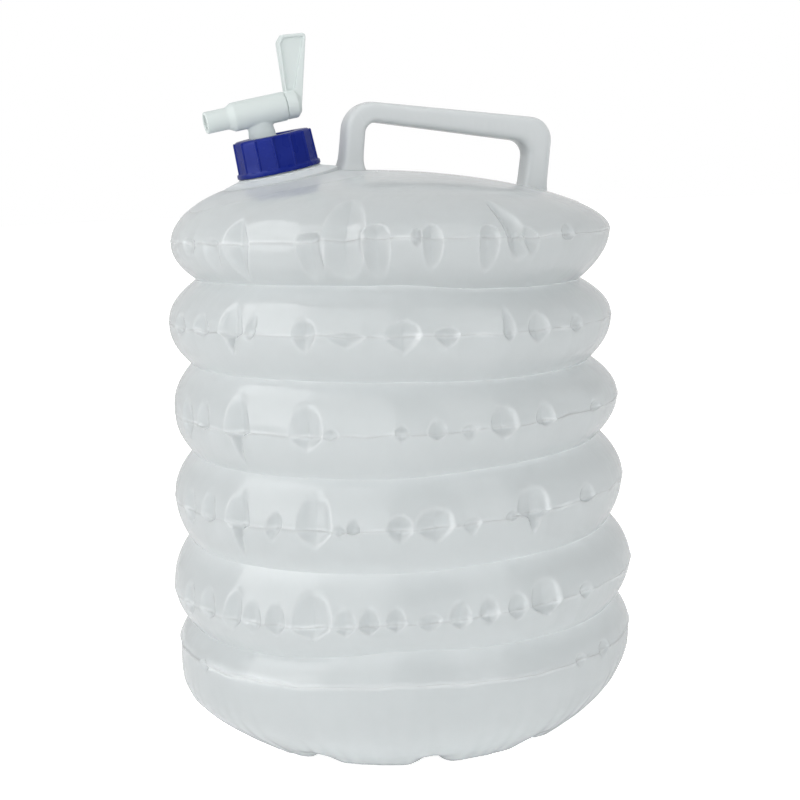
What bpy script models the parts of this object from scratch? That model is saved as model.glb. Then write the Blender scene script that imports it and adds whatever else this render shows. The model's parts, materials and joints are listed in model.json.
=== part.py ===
"""Collapsible water carrier of about ten litres.

A blow-moulded bellows body with a hollow loop handle and a threaded neck, closed by a
screw cap that clamps a quarter-turn tap. The body is one moulding on the real object. Here
it is cut at its crest lines, where it folds, so that each fold is a piece of its own.

The origin is on the body's axis at the floor. The neck leans towards -X and the handle
runs towards +X, both in the plane y = 0.
"""

import math

import bmesh
import bpy
from mathutils import Matrix, Vector

# Clearances shared by all pieces
FACE_GAP = 0.0003
RUNNING_GAP = 0.00015
CUT_OVERRUN = 0.004
WELD_DISTANCE = 0.000001
SMOOTH_ANGLE = math.radians(35)

# Body: six crests, counted from the top, and the five folds between them
BODY_WALL = 0.0010
BODY_STEPS = 40
CREST_PITCH = 0.0442
LAST_CREST_PITCH = 0.0300
BASE_HEIGHT = 0.0525
TOP_CREST_RADIUS = 0.1132
WIDEST_CREST_RADIUS = 0.1210
CREST_WIDTH_SHARES = (0.0, 0.18, 0.35, 0.59, 1.0, 0.82)
FOLD_DEPTH_TOP = 0.0155
FOLD_DEPTH_BOTTOM = 0.0067
FOLD_ROUNDNESS = 2.0
FOLD_STEPS = 3

# Base: a bowl that stands on a ring of feet, with a pushed-up middle
FOOT_COUNT = 10
STEPS_PER_FOOT = 6
FOOT_OUTER_RADIUS = 0.0860
FOOT_INNER_RADIUS = 0.0770
FOOT_NOTCH_HEIGHT = 0.0035
FOOT_FIRST_ANGLE = math.radians(8)
PUSH_UP_HEIGHT = 0.0080
BASE_BELLY_DROP = 0.0060
BASE_ROUNDNESS = 2.2
BASE_SIDE_SHARES = (0.0, 0.3, 0.52, 0.7, 0.84, 0.94, 1.0)

# Shoulder: a low dome that is higher on the neck's side
SHOULDER_HEIGHT = 0.0310
SHOULDER_LEAN_SHARE = 0.25
SHOULDER_STEPS = 7

# Neck: a collar on the shoulder and a threaded tube, leaning out over the rim
NECK_LEAN = math.radians(9.8)
NECK_OFFSET = 0.0563
NECK_SEAT_RISE = 0.0334
NECK_STEPS = 36
NECK_BORE_RADIUS = 0.0145
NECK_RADIUS = 0.0166
NECK_LENGTH = 0.0127
COLLAR_RADIUS = 0.0212
COLLAR_WALL = 0.0016
THREAD_PITCH = 0.0040
THREAD_HEIGHT = 0.0011
THREAD_WIDTH = 0.0020
THREAD_CREST_SHARE = 0.5
THREAD_SINK = 0.0005
THREAD_RUN_OUT_SHARE = 0.125
NECK_THREAD_TURNS = 2.2
CAP_THREAD_TURNS = 1.6

# Cap: a union nut with upright grips and a small flange
CAP_RADIUS = 0.0206
CAP_TOP_THICKNESS = 0.0022
CAP_THREAD_CLEARANCE = 0.0005
CAP_SEAT_GAP = 0.0010
CAP_FLANGE_PROUD = 0.0011
CAP_FLANGE_HEIGHT = 0.0018
CAP_DRAFT = 0.0004
CAP_EDGE = 0.0012
CAP_GRIPS = 14
CAP_STEPS_PER_GRIP = 4
CAP_GRIP_DEPTH = 0.0006

# Gasket between the neck's rim and the tap's flange
GASKET_THICKNESS = 0.0016

# Tap: flange, stem and barrel in one piece, with a spout
TAP_STEPS = 20
TAP_FLANGE_THICKNESS = 0.0020
TAP_FLANGE_RADIUS = 0.0158
TAP_FLANGE_STEPS = 32
STEM_RADIUS = 0.0068
STEM_BORE_RADIUS = 0.0030
STEM_OFFSET = 0.0046
BARREL_RISE = 0.0127
BARREL_RADIUS = 0.0073
BARREL_BORE_RADIUS = 0.0050
BARREL_LEFT = 0.0177
BARREL_RIGHT = 0.0124
SPOUT_RADIUS = 0.0055
SPOUT_BORE_RADIUS = 0.0038
SPOUT_REACH = 0.0319
SPOUT_TAPER = 0.0030
PLUG_SEAT_THICKNESS = 0.0030
STEM_END_SHARE = 0.4

# Lever: a hollow plug, a knuckle and a blade that flares upwards
PLUG_BORE_RADIUS = 0.0024
PLUG_PORT_RADIUS = 0.0022
KNUCKLE_RADIUS = 0.0066
KNUCKLE_WIDTH = 0.0064
BLADE_TOP_RISE = 0.0335
BLADE_LEAN = math.radians(8.5)
BLADE_FOOT_WIDTH = 0.0066
BLADE_TIP_WIDTH = 0.0152
BLADE_THICKNESS = 0.0060
BLADE_RIM = 0.0014
BLADE_RECESS_DEPTH = 0.0016
BLADE_TIP_CORNER = 0.0030
BLADE_CORNER_STEPS = 2

# O-rings in grooves of the plug, one on each side of its port
O_RING_THICKNESS = 0.0014
O_RING_GROOVE_CLEARANCE = 0.0001
O_RING_SPREAD_LEFT = 0.0056
O_RING_SPREAD_RIGHT = 0.0096
O_RING_STEPS = 20
O_RING_SIDES = 6

# Handle: a hollow loop of rectangular section with rounded corners
HANDLE_DEPTH = 0.0160
HANDLE_WALL = 0.0016
HANDLE_LEFT_LEG_WIDTH = 0.0115
HANDLE_RIGHT_LEG_WIDTH = 0.0132
HANDLE_BAR_HEIGHT = 0.0116
HANDLE_LEFT_FOOT = 0.0250
HANDLE_RIGHT_FOOT = 0.0868
HANDLE_LEFT_TOP = 0.0200
HANDLE_RIGHT_TOP = 0.0925
HANDLE_LEFT_RISE = 0.0680
HANDLE_RIGHT_RISE = 0.0541
HANDLE_LEFT_CORNER = 0.0150
HANDLE_RIGHT_CORNER = 0.0120
HANDLE_INNER_CORNER = 0.0055
HANDLE_CORNER_STEPS = 5
HANDLE_EDGE = 0.0030
HANDLE_EDGE_STEPS = 2
HANDLE_EDGE_ANGLE = math.radians(60)

# Heights and radii that follow from the sizes above
FOLD_COUNT = len(CREST_WIDTH_SHARES) - 1
CREST_PITCHES = [CREST_PITCH] * (FOLD_COUNT - 1) + [LAST_CREST_PITCH]
CREST_HEIGHTS = [BASE_HEIGHT + sum(CREST_PITCHES[k:]) for k in range(FOLD_COUNT + 1)]
CREST_RADII = [
    TOP_CREST_RADIUS + (WIDEST_CREST_RADIUS - TOP_CREST_RADIUS) * share
    for share in CREST_WIDTH_SHARES
]
SHOULDER_BASE = CREST_HEIGHTS[0]

# Heights along the neck's axis, from the cap's top face
CAP_PLATE_UNDERSIDE = -CAP_TOP_THICKNESS
TAP_FLANGE_TOP = CAP_PLATE_UNDERSIDE - FACE_GAP
TAP_FLANGE_UNDERSIDE = TAP_FLANGE_TOP - TAP_FLANGE_THICKNESS
GASKET_TOP = TAP_FLANGE_UNDERSIDE - FACE_GAP
NECK_RIM = GASKET_TOP - GASKET_THICKNESS - FACE_GAP
COLLAR_TOP = NECK_RIM - NECK_LENGTH
CAP_UNDERSIDE = COLLAR_TOP + CAP_SEAT_GAP
CAP_LENGTH = -CAP_UNDERSIDE
CAP_BORE_RADIUS = NECK_RADIUS + THREAD_HEIGHT + CAP_THREAD_CLEARANCE
CAP_HOLE_RADIUS = STEM_OFFSET + STEM_RADIUS + CAP_THREAD_CLEARANCE
PLUG_RADIUS = BARREL_BORE_RADIUS - RUNNING_GAP
O_RING_RADIUS = PLUG_RADIUS - O_RING_THICKNESS / 2
GROOVE_RADIUS = O_RING_RADIUS - O_RING_THICKNESS / 2 - O_RING_GROOVE_CLEARANCE
GROOVE_WIDTH = O_RING_THICKNESS + 2 * O_RING_GROOVE_CLEARANCE
THREAD_PHASE = math.pi / NECK_STEPS


def neck_frame():
    """The neck's own frame: Z along its axis, zero at the cap's top face, X across it."""
    lean = Matrix.Rotation(-NECK_LEAN, 4, "Y")
    seat = Vector((-NECK_OFFSET, 0, SHOULDER_BASE + NECK_SEAT_RISE))
    return Matrix.Translation(seat) @ lean @ Matrix.Translation((0, 0, CAP_LENGTH))


def clear_scene():
    for obj in list(bpy.data.objects):
        bpy.data.objects.remove(obj, do_unlink=True)


def material(name, colour, roughness, alpha=1.0):
    made = bpy.data.materials.new(name)
    made.use_nodes = True
    shader = made.node_tree.nodes["Principled BSDF"]
    shader.inputs["Base Color"].default_value = (*colour, 1)
    shader.inputs["Roughness"].default_value = roughness
    shader.inputs["Metallic"].default_value = 0
    shader.inputs["Alpha"].default_value = alpha
    return made


def finish(name, bm, surface=None, place=None):
    """The object of that name made from the mesh, smooth where its faces meet gently."""
    bmesh.ops.recalc_face_normals(bm, faces=bm.faces)
    mesh = bpy.data.meshes.new(name)
    bm.to_mesh(mesh)
    bm.free()
    mesh.shade_smooth()
    mesh.set_sharp_from_angle(angle=SMOOTH_ANGLE)
    obj = bpy.data.objects.new(name, mesh)
    bpy.context.scene.collection.objects.link(obj)
    if surface:
        mesh.materials.append(surface)
    if place:
        obj.matrix_world = place
    return obj


def helper(name, bm, place=None):
    """A shape that only joins or cuts other pieces."""
    obj = finish(name, bm, place=place)
    obj.hide_render = True
    obj.display_type = "WIRE"
    return obj


def combine(obj, other, operation, solver="EXACT"):
    modifier = obj.modifiers.new(other.name, "BOOLEAN")
    modifier.operation = operation
    modifier.solver = solver
    modifier.object = other


def turned(outline, steps, axis="Z", first_angle=0.0):
    """The closed outline of (radius, distance along the axis) points, spun into a solid."""
    bm = bmesh.new()
    points = [bm.verts.new((radius, 0, height)) for radius, height in outline]
    edges = []
    for start, end in zip(points, points[1:] + points[:1]):
        if start.co.x > 0 or end.co.x > 0:
            edges.append(bm.edges.new((start, end)))
    bmesh.ops.spin(
        bm,
        geom=points + edges,
        cent=(0, 0, 0),
        axis=(0, 0, 1),
        angle=math.tau,
        steps=steps,
        use_merge=True,
    )
    bmesh.ops.remove_doubles(bm, verts=bm.verts, dist=WELD_DISTANCE)
    turn = Matrix.Rotation(first_angle, 4, "Z")
    if axis == "X":
        turn = Matrix.Rotation(math.pi / 2, 4, "Y") @ turn
    bmesh.ops.transform(bm, matrix=turn, verts=bm.verts)
    return bm


def rod(radius, low, high, steps, axis="Z"):
    """A plain cylinder about the axis, from low to high."""
    return turned([(0, high), (radius, high), (radius, low), (0, low)], steps, axis)


def plate(outline, depth):
    """The closed outline of (x, z) points, made a slab of that depth about y = 0."""
    bm = bmesh.new()
    face = bm.faces.new([bm.verts.new((x, -depth / 2, z)) for x, z in outline])
    made = bmesh.ops.extrude_face_region(bm, geom=[face])
    moved = [part for part in made["geom"] if isinstance(part, bmesh.types.BMVert)]
    bmesh.ops.translate(bm, vec=(0, depth, 0), verts=moved)
    return bm


def rounded(corners, steps):
    """The closed outline through (x, z, radius) corners, each turned into an arc."""
    outline = []
    for k, (x, z, radius) in enumerate(corners):
        here = Vector((x, z))
        back = (Vector(corners[k - 1][:2]) - here).normalized()
        ahead = (Vector(corners[(k + 1) % len(corners)][:2]) - here).normalized()
        if radius <= 0:
            outline.append(tuple(here))
            continue
        half = back.angle(ahead) / 2
        centre = here + (back + ahead).normalized() * radius / math.sin(half)
        start = here + back * radius / math.tan(half) - centre
        sweep = start.angle_signed(here + ahead * radius / math.tan(half) - centre)
        for step in range(steps + 1):
            turn = Matrix.Rotation(-sweep * step / steps, 2)
            outline.append(tuple(centre + turn @ start))
    return outline


def thread(root_radius, outward, low, turns, phase):
    """A helical ridge whose foot is sunk in the wall that it stands on."""
    sign = 1 if outward else -1
    steps = round(turns * NECK_STEPS)
    run_out = THREAD_RUN_OUT_SHARE * NECK_STEPS
    foot = THREAD_WIDTH / 2
    crest = foot * THREAD_CREST_SHARE
    bm = bmesh.new()
    rows = []
    for step in range(steps + 1):
        angle = phase + step * math.tau / NECK_STEPS
        height = low + THREAD_PITCH * step / NECK_STEPS
        ramp = min(1, step / run_out, (steps - step) / run_out)
        top = THREAD_HEIGHT * ramp - THREAD_SINK * (1 - ramp) / 2
        section = (
            (-THREAD_SINK, -foot),
            (top, -crest),
            (top, crest),
            (-THREAD_SINK, foot),
        )
        row = []
        for proud, along in section:
            radius = root_radius + sign * proud
            spot = (radius * math.cos(angle), radius * math.sin(angle), height + along)
            row.append(bm.verts.new(spot))
        rows.append(row)
    for before, after in zip(rows, rows[1:]):
        for k in range(len(before)):
            bm.faces.new((before[k], before[k - 1], after[k - 1], after[k]))
    bm.faces.new(rows[0])
    bm.faces.new(rows[-1][::-1])
    bmesh.ops.triangulate(bm, faces=bm.faces)
    return bm


def fold_outline(fold):
    """Radius and height along the outside of one fold, from its upper crest down."""
    upper, lower = CREST_RADII[fold], CREST_RADII[fold + 1]
    top = CREST_HEIGHTS[fold] - FACE_GAP / 2
    bottom = CREST_HEIGHTS[fold + 1] + FACE_GAP / 2
    share = fold / (FOLD_COUNT - 1)
    depth = FOLD_DEPTH_TOP + (FOLD_DEPTH_BOTTOM - FOLD_DEPTH_TOP) * share
    valley = (upper + lower) / 2 - depth
    middle = (top + bottom) / 2
    outline = []
    for step in range(FOLD_STEPS + 1):
        share = step / FOLD_STEPS
        radius = upper + (valley - upper) * share**FOLD_ROUNDNESS
        outline.append((radius, top + (middle - top) * share))
    for step in range(FOLD_STEPS - 1, -1, -1):
        share = step / FOLD_STEPS
        radius = lower + (valley - lower) * share**FOLD_ROUNDNESS
        outline.append((radius, bottom + (middle - bottom) * share))
    return outline


def with_wall(outline, wall):
    """The outline closed by its own copy, one wall nearer the axis."""
    return outline + [(radius - wall, height) for radius, height in reversed(outline)]


def make_bellows(surface):
    for fold in range(FOLD_COUNT):
        outline = with_wall(fold_outline(fold), BODY_WALL)
        finish(f"bellows_fold_{fold + 1}", turned(outline, BODY_STEPS), surface)


def base_outline():
    """The outside of the bowl from its crest to the feet, then the pushed-up underside."""
    crest = CREST_RADII[-1]
    top = BASE_HEIGHT - FACE_GAP / 2
    belly = BASE_HEIGHT - BASE_BELLY_DROP
    outline = [(crest, top)]
    for share in BASE_SIDE_SHARES:
        radius = crest - (crest - FOOT_OUTER_RADIUS) * share**BASE_ROUNDNESS
        outline.append((radius, belly * (1 - share)))
    outline.append((FOOT_INNER_RADIUS, 0))
    outline.append((FOOT_INNER_RADIUS - PUSH_UP_HEIGHT, PUSH_UP_HEIGHT))
    outline.append((0, PUSH_UP_HEIGHT))
    return outline


def base_lining(outline):
    """The inside of the bowl: the outside moved in and up by one wall."""
    lining = []
    for radius, height in outline:
        if height >= outline[1][1]:
            lining.append((radius - BODY_WALL, height))
        elif radius >= FOOT_OUTER_RADIUS:
            lining.append((radius - BODY_WALL, height + BODY_WALL))
        elif radius > 0:
            lining.append((radius - BODY_WALL / 2, height + BODY_WALL))
        else:
            lining.append((0, height + BODY_WALL))
    return lining


def foot_notch_share(angle):
    """How far the foot ring is drawn up at an angle: 1 in a notch, 0 on a foot."""
    place = (angle - FOOT_FIRST_ANGLE) / math.tau * FOOT_COUNT
    away = abs(place - round(place)) * STEPS_PER_FOOT
    return max(0.0, 1.0 - away)


def make_base(surface):
    outline = base_outline()
    loop = outline + base_lining(outline)[::-1]
    bm = turned(loop, FOOT_COUNT * STEPS_PER_FOOT, first_angle=FOOT_FIRST_ANGLE)
    reach = FOOT_NOTCH_HEIGHT + 2 * BODY_WALL
    for vert in bm.verts:
        radius = math.hypot(vert.co.x, vert.co.y)
        if radius < FOOT_INNER_RADIUS - 2 * BODY_WALL or vert.co.z > reach:
            continue
        angle = math.atan2(vert.co.y, vert.co.x)
        vert.co.z += FOOT_NOTCH_HEIGHT * foot_notch_share(angle)
    finish("base_shell", bm, surface)


def dome(inset, low):
    """The solid under the shoulder, drawn in by the inset, down to a flat face at low."""
    radius = CREST_RADII[0] - inset
    rise = SHOULDER_HEIGHT - inset
    outline = [(0, low), (radius, low)]
    for step in range(SHOULDER_STEPS):
        angle = math.pi / 2 * step / SHOULDER_STEPS
        height = SHOULDER_BASE + rise * math.sin(angle)
        if height > low:
            outline.append((radius * math.cos(angle), height))
    outline.append((0, SHOULDER_BASE + rise))
    bm = turned(outline, BODY_STEPS)
    for vert in bm.verts:
        above = max(0.0, vert.co.z - SHOULDER_BASE)
        vert.co.z -= above * SHOULDER_LEAN_SHARE * vert.co.x / radius
    bmesh.ops.triangulate(bm, faces=bm.faces)
    return bm


def make_top_shell(surface, neck):
    low = SHOULDER_BASE + FACE_GAP / 2
    shell = finish("top_shell", dome(0, low), surface)
    sunk = COLLAR_TOP - SHOULDER_HEIGHT / 2
    collar = helper("collar", rod(COLLAR_RADIUS, sunk, COLLAR_TOP, NECK_STEPS), neck)
    tube = helper("neck_tube", rod(NECK_RADIUS, sunk, NECK_RIM, NECK_STEPS), neck)
    low_turn = COLLAR_TOP + THREAD_PITCH / 2
    ridge = thread(NECK_RADIUS, True, low_turn, NECK_THREAD_TURNS, THREAD_PHASE)
    neck_thread = helper("neck_thread", ridge, neck)
    combine(shell, collar, "UNION")
    combine(shell, tube, "UNION")
    combine(shell, neck_thread, "UNION", "MANIFOLD")
    hollow = helper("shoulder_hollow", dome(BODY_WALL, low - CUT_OVERRUN))
    collar_hollow = helper(
        "collar_hollow",
        rod(COLLAR_RADIUS - COLLAR_WALL, sunk - CUT_OVERRUN, COLLAR_TOP - COLLAR_WALL, NECK_STEPS),
        neck,
    )
    bore = helper(
        "neck_bore",
        rod(NECK_BORE_RADIUS, sunk - CUT_OVERRUN, NECK_RIM + CUT_OVERRUN, NECK_STEPS),
        neck,
    )
    for cutter in (hollow, collar_hollow, bore):
        combine(shell, cutter, "DIFFERENCE", "MANIFOLD")
    for name, x, width in handle_legs():
        inside = width - 2 * HANDLE_WALL
        depth = HANDLE_DEPTH - 2 * HANDLE_WALL
        high = SHOULDER_BASE + SHOULDER_HEIGHT + CUT_OVERRUN
        corners = [
            (x - inside / 2, low),
            (x + inside / 2, low),
            (x + inside / 2, high),
            (x - inside / 2, high),
        ]
        combine(shell, helper(name, plate(corners, depth)), "DIFFERENCE", "MANIFOLD")


def handle_legs():
    """Name, middle and width of each opening where a hollow leg meets the shoulder."""
    left = -HANDLE_LEFT_FOOT + HANDLE_LEFT_LEG_WIDTH / 2
    right = HANDLE_RIGHT_FOOT - HANDLE_RIGHT_LEG_WIDTH / 2
    return (
        ("left_leg_port", left, HANDLE_LEFT_LEG_WIDTH),
        ("right_leg_port", right, HANDLE_RIGHT_LEG_WIDTH),
    )


def handle_outline(inset, foot):
    """The loop seen from the front, drawn in by the inset, with its feet at a height."""
    left_top = SHOULDER_BASE + HANDLE_LEFT_RISE
    right_top = SHOULDER_BASE + HANDLE_RIGHT_RISE
    outer_left = -HANDLE_LEFT_FOOT + inset
    outer_right = HANDLE_RIGHT_FOOT - inset
    inner_left = -HANDLE_LEFT_FOOT + HANDLE_LEFT_LEG_WIDTH - inset
    inner_right = HANDLE_RIGHT_FOOT - HANDLE_RIGHT_LEG_WIDTH + inset
    lean_left = HANDLE_LEFT_FOOT - HANDLE_LEFT_TOP
    lean_right = HANDLE_RIGHT_TOP - HANDLE_RIGHT_FOOT
    bar = HANDLE_BAR_HEIGHT - inset
    return rounded(
        [
            (outer_left, foot, 0),
            (outer_left + lean_left, left_top - inset, HANDLE_LEFT_CORNER - inset),
            (outer_right + lean_right, right_top - inset, HANDLE_RIGHT_CORNER - inset),
            (outer_right, foot, 0),
            (inner_right, foot, 0),
            (inner_right + lean_right, right_top - bar, HANDLE_INNER_CORNER + inset),
            (inner_left + lean_left, left_top - bar, HANDLE_INNER_CORNER + inset),
            (inner_left, foot, 0),
        ],
        HANDLE_CORNER_STEPS,
    )


def make_handle(surface):
    foot = SHOULDER_BASE + FACE_GAP
    handle = finish("handle", plate(handle_outline(0, foot), HANDLE_DEPTH), surface)
    soften = handle.modifiers.new("rounded_edges", "BEVEL")
    soften.width = HANDLE_EDGE
    soften.segments = HANDLE_EDGE_STEPS
    soften.limit_method = "ANGLE"
    soften.angle_limit = HANDLE_EDGE_ANGLE
    inside = plate(
        handle_outline(HANDLE_WALL, foot - CUT_OVERRUN), HANDLE_DEPTH - 2 * HANDLE_WALL
    )
    combine(handle, helper("handle_hollow", inside), "DIFFERENCE")
    seat = dome(-FACE_GAP, SHOULDER_BASE - CUT_OVERRUN)
    combine(handle, helper("handle_seat", seat), "DIFFERENCE")


def make_cap(surface, neck):
    bottom = CAP_UNDERSIDE
    flange_top = bottom + CAP_FLANGE_HEIGHT
    outline = [
        (CAP_HOLE_RADIUS, 0),
        (CAP_RADIUS - CAP_DRAFT - CAP_EDGE, 0),
        (CAP_RADIUS - CAP_DRAFT, -CAP_EDGE),
        (CAP_RADIUS, flange_top + CAP_FLANGE_PROUD / 2),
        (CAP_RADIUS + CAP_FLANGE_PROUD, flange_top - CAP_FLANGE_PROUD / 2),
        (CAP_RADIUS + CAP_FLANGE_PROUD, bottom),
        (CAP_BORE_RADIUS, bottom),
        (CAP_BORE_RADIUS, CAP_PLATE_UNDERSIDE),
        (CAP_HOLE_RADIUS, CAP_PLATE_UNDERSIDE),
    ]
    bm = turned(outline, CAP_GRIPS * CAP_STEPS_PER_GRIP)
    for vert in bm.verts:
        radius = math.hypot(vert.co.x, vert.co.y)
        on_side = abs(radius - CAP_RADIUS) < CAP_DRAFT + WELD_DISTANCE
        place = math.atan2(vert.co.y, vert.co.x) / math.tau * CAP_GRIPS
        if on_side and abs(place - round(place)) * CAP_STEPS_PER_GRIP > 0.5:
            inward = 1 - CAP_GRIP_DEPTH / radius
            vert.co.x *= inward
            vert.co.y *= inward
    cap = finish("cap", bm, surface, neck)
    phase = THREAD_PHASE + math.tau * CAP_SEAT_GAP / THREAD_PITCH
    low = CAP_UNDERSIDE + THREAD_PITCH
    ridge = thread(CAP_BORE_RADIUS, False, low, CAP_THREAD_TURNS, phase)
    combine(cap, helper("cap_thread", ridge, neck), "UNION")


def make_gasket(surface, neck):
    top = GASKET_TOP
    bottom = top - GASKET_THICKNESS
    outline = [
        (NECK_BORE_RADIUS, top),
        (NECK_RADIUS, top),
        (NECK_RADIUS, bottom),
        (NECK_BORE_RADIUS, bottom),
    ]
    finish("neck_gasket", turned(outline, NECK_STEPS), surface, neck)


def make_tap_body(surface, neck):
    flange = rod(TAP_FLANGE_RADIUS, TAP_FLANGE_UNDERSIDE, TAP_FLANGE_TOP, TAP_FLANGE_STEPS)
    body = finish("tap_body", flange, surface, neck)
    middle = (TAP_FLANGE_UNDERSIDE + TAP_FLANGE_TOP) / 2
    at_stem = neck @ Matrix.Translation((-STEM_OFFSET, 0, 0))
    inside_wall = BARREL_RISE - BARREL_RADIUS * STEM_END_SHARE
    stem = helper("stem", rod(STEM_RADIUS, middle, inside_wall, TAP_STEPS), at_stem)
    at_barrel = neck @ Matrix.Translation((0, 0, BARREL_RISE))
    outline = [
        (0, BARREL_RIGHT),
        (BARREL_RADIUS, BARREL_RIGHT),
        (BARREL_RADIUS, -BARREL_LEFT),
        (SPOUT_RADIUS, -BARREL_LEFT - SPOUT_TAPER),
        (SPOUT_RADIUS, -SPOUT_REACH),
        (0, -SPOUT_REACH),
    ]
    barrel = helper("barrel", turned(outline, TAP_STEPS, "X"), at_barrel)
    combine(body, stem, "UNION")
    combine(body, barrel, "UNION")
    seat = -BARREL_LEFT + PLUG_SEAT_THICKNESS
    outline = [
        (0, BARREL_RIGHT + CUT_OVERRUN),
        (BARREL_BORE_RADIUS, BARREL_RIGHT + CUT_OVERRUN),
        (BARREL_BORE_RADIUS, seat),
        (SPOUT_BORE_RADIUS, seat),
        (SPOUT_BORE_RADIUS, -SPOUT_REACH - CUT_OVERRUN),
        (0, -SPOUT_REACH - CUT_OVERRUN),
    ]
    bore = helper("barrel_bore", turned(outline, TAP_STEPS, "X"), at_barrel)
    low = TAP_FLANGE_UNDERSIDE - CUT_OVERRUN
    high = BARREL_RISE - BARREL_BORE_RADIUS * STEM_END_SHARE
    stem_bore = helper("stem_bore", rod(STEM_BORE_RADIUS, low, high, TAP_STEPS), at_stem)
    combine(body, bore, "DIFFERENCE")
    combine(body, stem_bore, "DIFFERENCE", "MANIFOLD")


def o_ring_places():
    """Where the two O-rings sit along the barrel: left and right of the stem's bore."""
    return (
        ("plug_o_ring_inner", -STEM_OFFSET - O_RING_SPREAD_LEFT),
        ("plug_o_ring_outer", -STEM_OFFSET + O_RING_SPREAD_RIGHT),
    )


def blade_outline(inset, low):
    """The blade seen from the front, drawn in by the inset: narrow at low, flared at its tip."""
    foot_x = BARREL_RIGHT + FACE_GAP + BLADE_FOOT_WIDTH / 2
    tip_x = foot_x + BLADE_TOP_RISE * math.tan(BLADE_LEAN)
    tip = BLADE_TIP_WIDTH / 2 - inset
    foot = BLADE_FOOT_WIDTH / 2 - inset
    top = BLADE_TOP_RISE - inset
    corner = max(BLADE_TIP_CORNER - inset, inset)
    return rounded(
        [
            (foot_x - foot, low, 0),
            (tip_x - tip, top, corner),
            (tip_x + tip, top, corner),
            (foot_x + foot, low, 0),
        ],
        BLADE_CORNER_STEPS,
    )


def make_lever(surface, neck):
    at_barrel = neck @ Matrix.Translation((0, 0, BARREL_RISE))
    end = -BARREL_LEFT + PLUG_SEAT_THICKNESS + FACE_GAP
    shoulder = BARREL_RIGHT + FACE_GAP
    outline = [
        (0, shoulder + KNUCKLE_WIDTH),
        (KNUCKLE_RADIUS - BLADE_RIM, shoulder + KNUCKLE_WIDTH),
        (KNUCKLE_RADIUS, shoulder + KNUCKLE_WIDTH - BLADE_RIM),
        (KNUCKLE_RADIUS, shoulder),
        (PLUG_RADIUS, shoulder),
    ]
    for _, place in reversed(o_ring_places()):
        outline.append((PLUG_RADIUS, place + GROOVE_WIDTH / 2))
        outline.append((GROOVE_RADIUS, place + GROOVE_WIDTH / 2))
        outline.append((GROOVE_RADIUS, place - GROOVE_WIDTH / 2))
        outline.append((PLUG_RADIUS, place - GROOVE_WIDTH / 2))
    outline.append((PLUG_RADIUS, end))
    outline.append((PLUG_BORE_RADIUS, end))
    outline.append((PLUG_BORE_RADIUS, -STEM_OFFSET + PLUG_PORT_RADIUS))
    outline.append((0, -STEM_OFFSET + PLUG_PORT_RADIUS))
    lever = finish("tap_lever", turned(outline, TAP_STEPS, "X"), surface, at_barrel)
    blade = helper("blade", plate(blade_outline(0, 0), BLADE_THICKNESS), at_barrel)
    combine(lever, blade, "UNION")
    for name, side in (("front_recess", -1), ("back_recess", 1)):
        shift = side * (BLADE_THICKNESS / 2 - BLADE_RECESS_DEPTH + CUT_OVERRUN / 2)
        recess = plate(blade_outline(BLADE_RIM, KNUCKLE_RADIUS), CUT_OVERRUN)
        place = at_barrel @ Matrix.Translation((0, shift, 0))
        combine(lever, helper(name, recess, place), "DIFFERENCE")
    reach = PLUG_RADIUS + CUT_OVERRUN
    port = rod(PLUG_PORT_RADIUS, -reach, reach, TAP_STEPS)
    across = Matrix.Translation((-STEM_OFFSET, 0, 0)) @ Matrix.Rotation(math.pi / 2, 4, "X")
    combine(lever, helper("plug_port", port, at_barrel @ across), "DIFFERENCE")


def make_o_rings(surface, neck):
    for name, place in o_ring_places():
        outline = []
        for side in range(O_RING_SIDES):
            angle = math.tau * (side + 0.5) / O_RING_SIDES
            radius = O_RING_RADIUS + O_RING_THICKNESS / 2 * math.cos(angle)
            outline.append((radius, O_RING_THICKNESS / 2 * math.sin(angle)))
        at_groove = neck @ Matrix.Translation((place, 0, BARREL_RISE))
        finish(name, turned(outline, O_RING_STEPS, "X"), surface, at_groove)


def main():
    clear_scene()
    neck = neck_frame()
    bottle = material("milky_polyethylene", (0.62, 0.66, 0.67), 0.32, 0.8)
    tap = material("tap_polyethylene", (0.66, 0.72, 0.71), 0.35, 0.9)
    make_base(bottle)
    make_bellows(bottle)
    make_top_shell(bottle, neck)
    make_handle(bottle)
    make_cap(material("blue_cap_plastic", (0.018, 0.025, 0.30), 0.28), neck)
    make_gasket(material("gasket_rubber", (0.75, 0.75, 0.73), 0.6), neck)
    make_tap_body(tap, neck)
    make_lever(material("lever_polyethylene", (0.68, 0.74, 0.73), 0.35, 0.9), neck)
    make_o_rings(material("o_ring_rubber", (0.03, 0.03, 0.03), 0.5), neck)


main()
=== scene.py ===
"""Dressed model of a collapsible water carrier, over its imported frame.

The body is one milky blow moulding, cut at its crest lines where it folds. The dents along the
crests are what folding and unfolding leaves in the thin wall. Lengths are in metres.
"""

import json
import math
import random
from contextlib import contextmanager

import bmesh
import bpy
import numpy as np
from bpy.props import FloatProperty, FloatVectorProperty, IntProperty, PointerProperty
from bpy.types import Operator, Panel, PropertyGroup
from mathutils import Matrix, Vector

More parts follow.
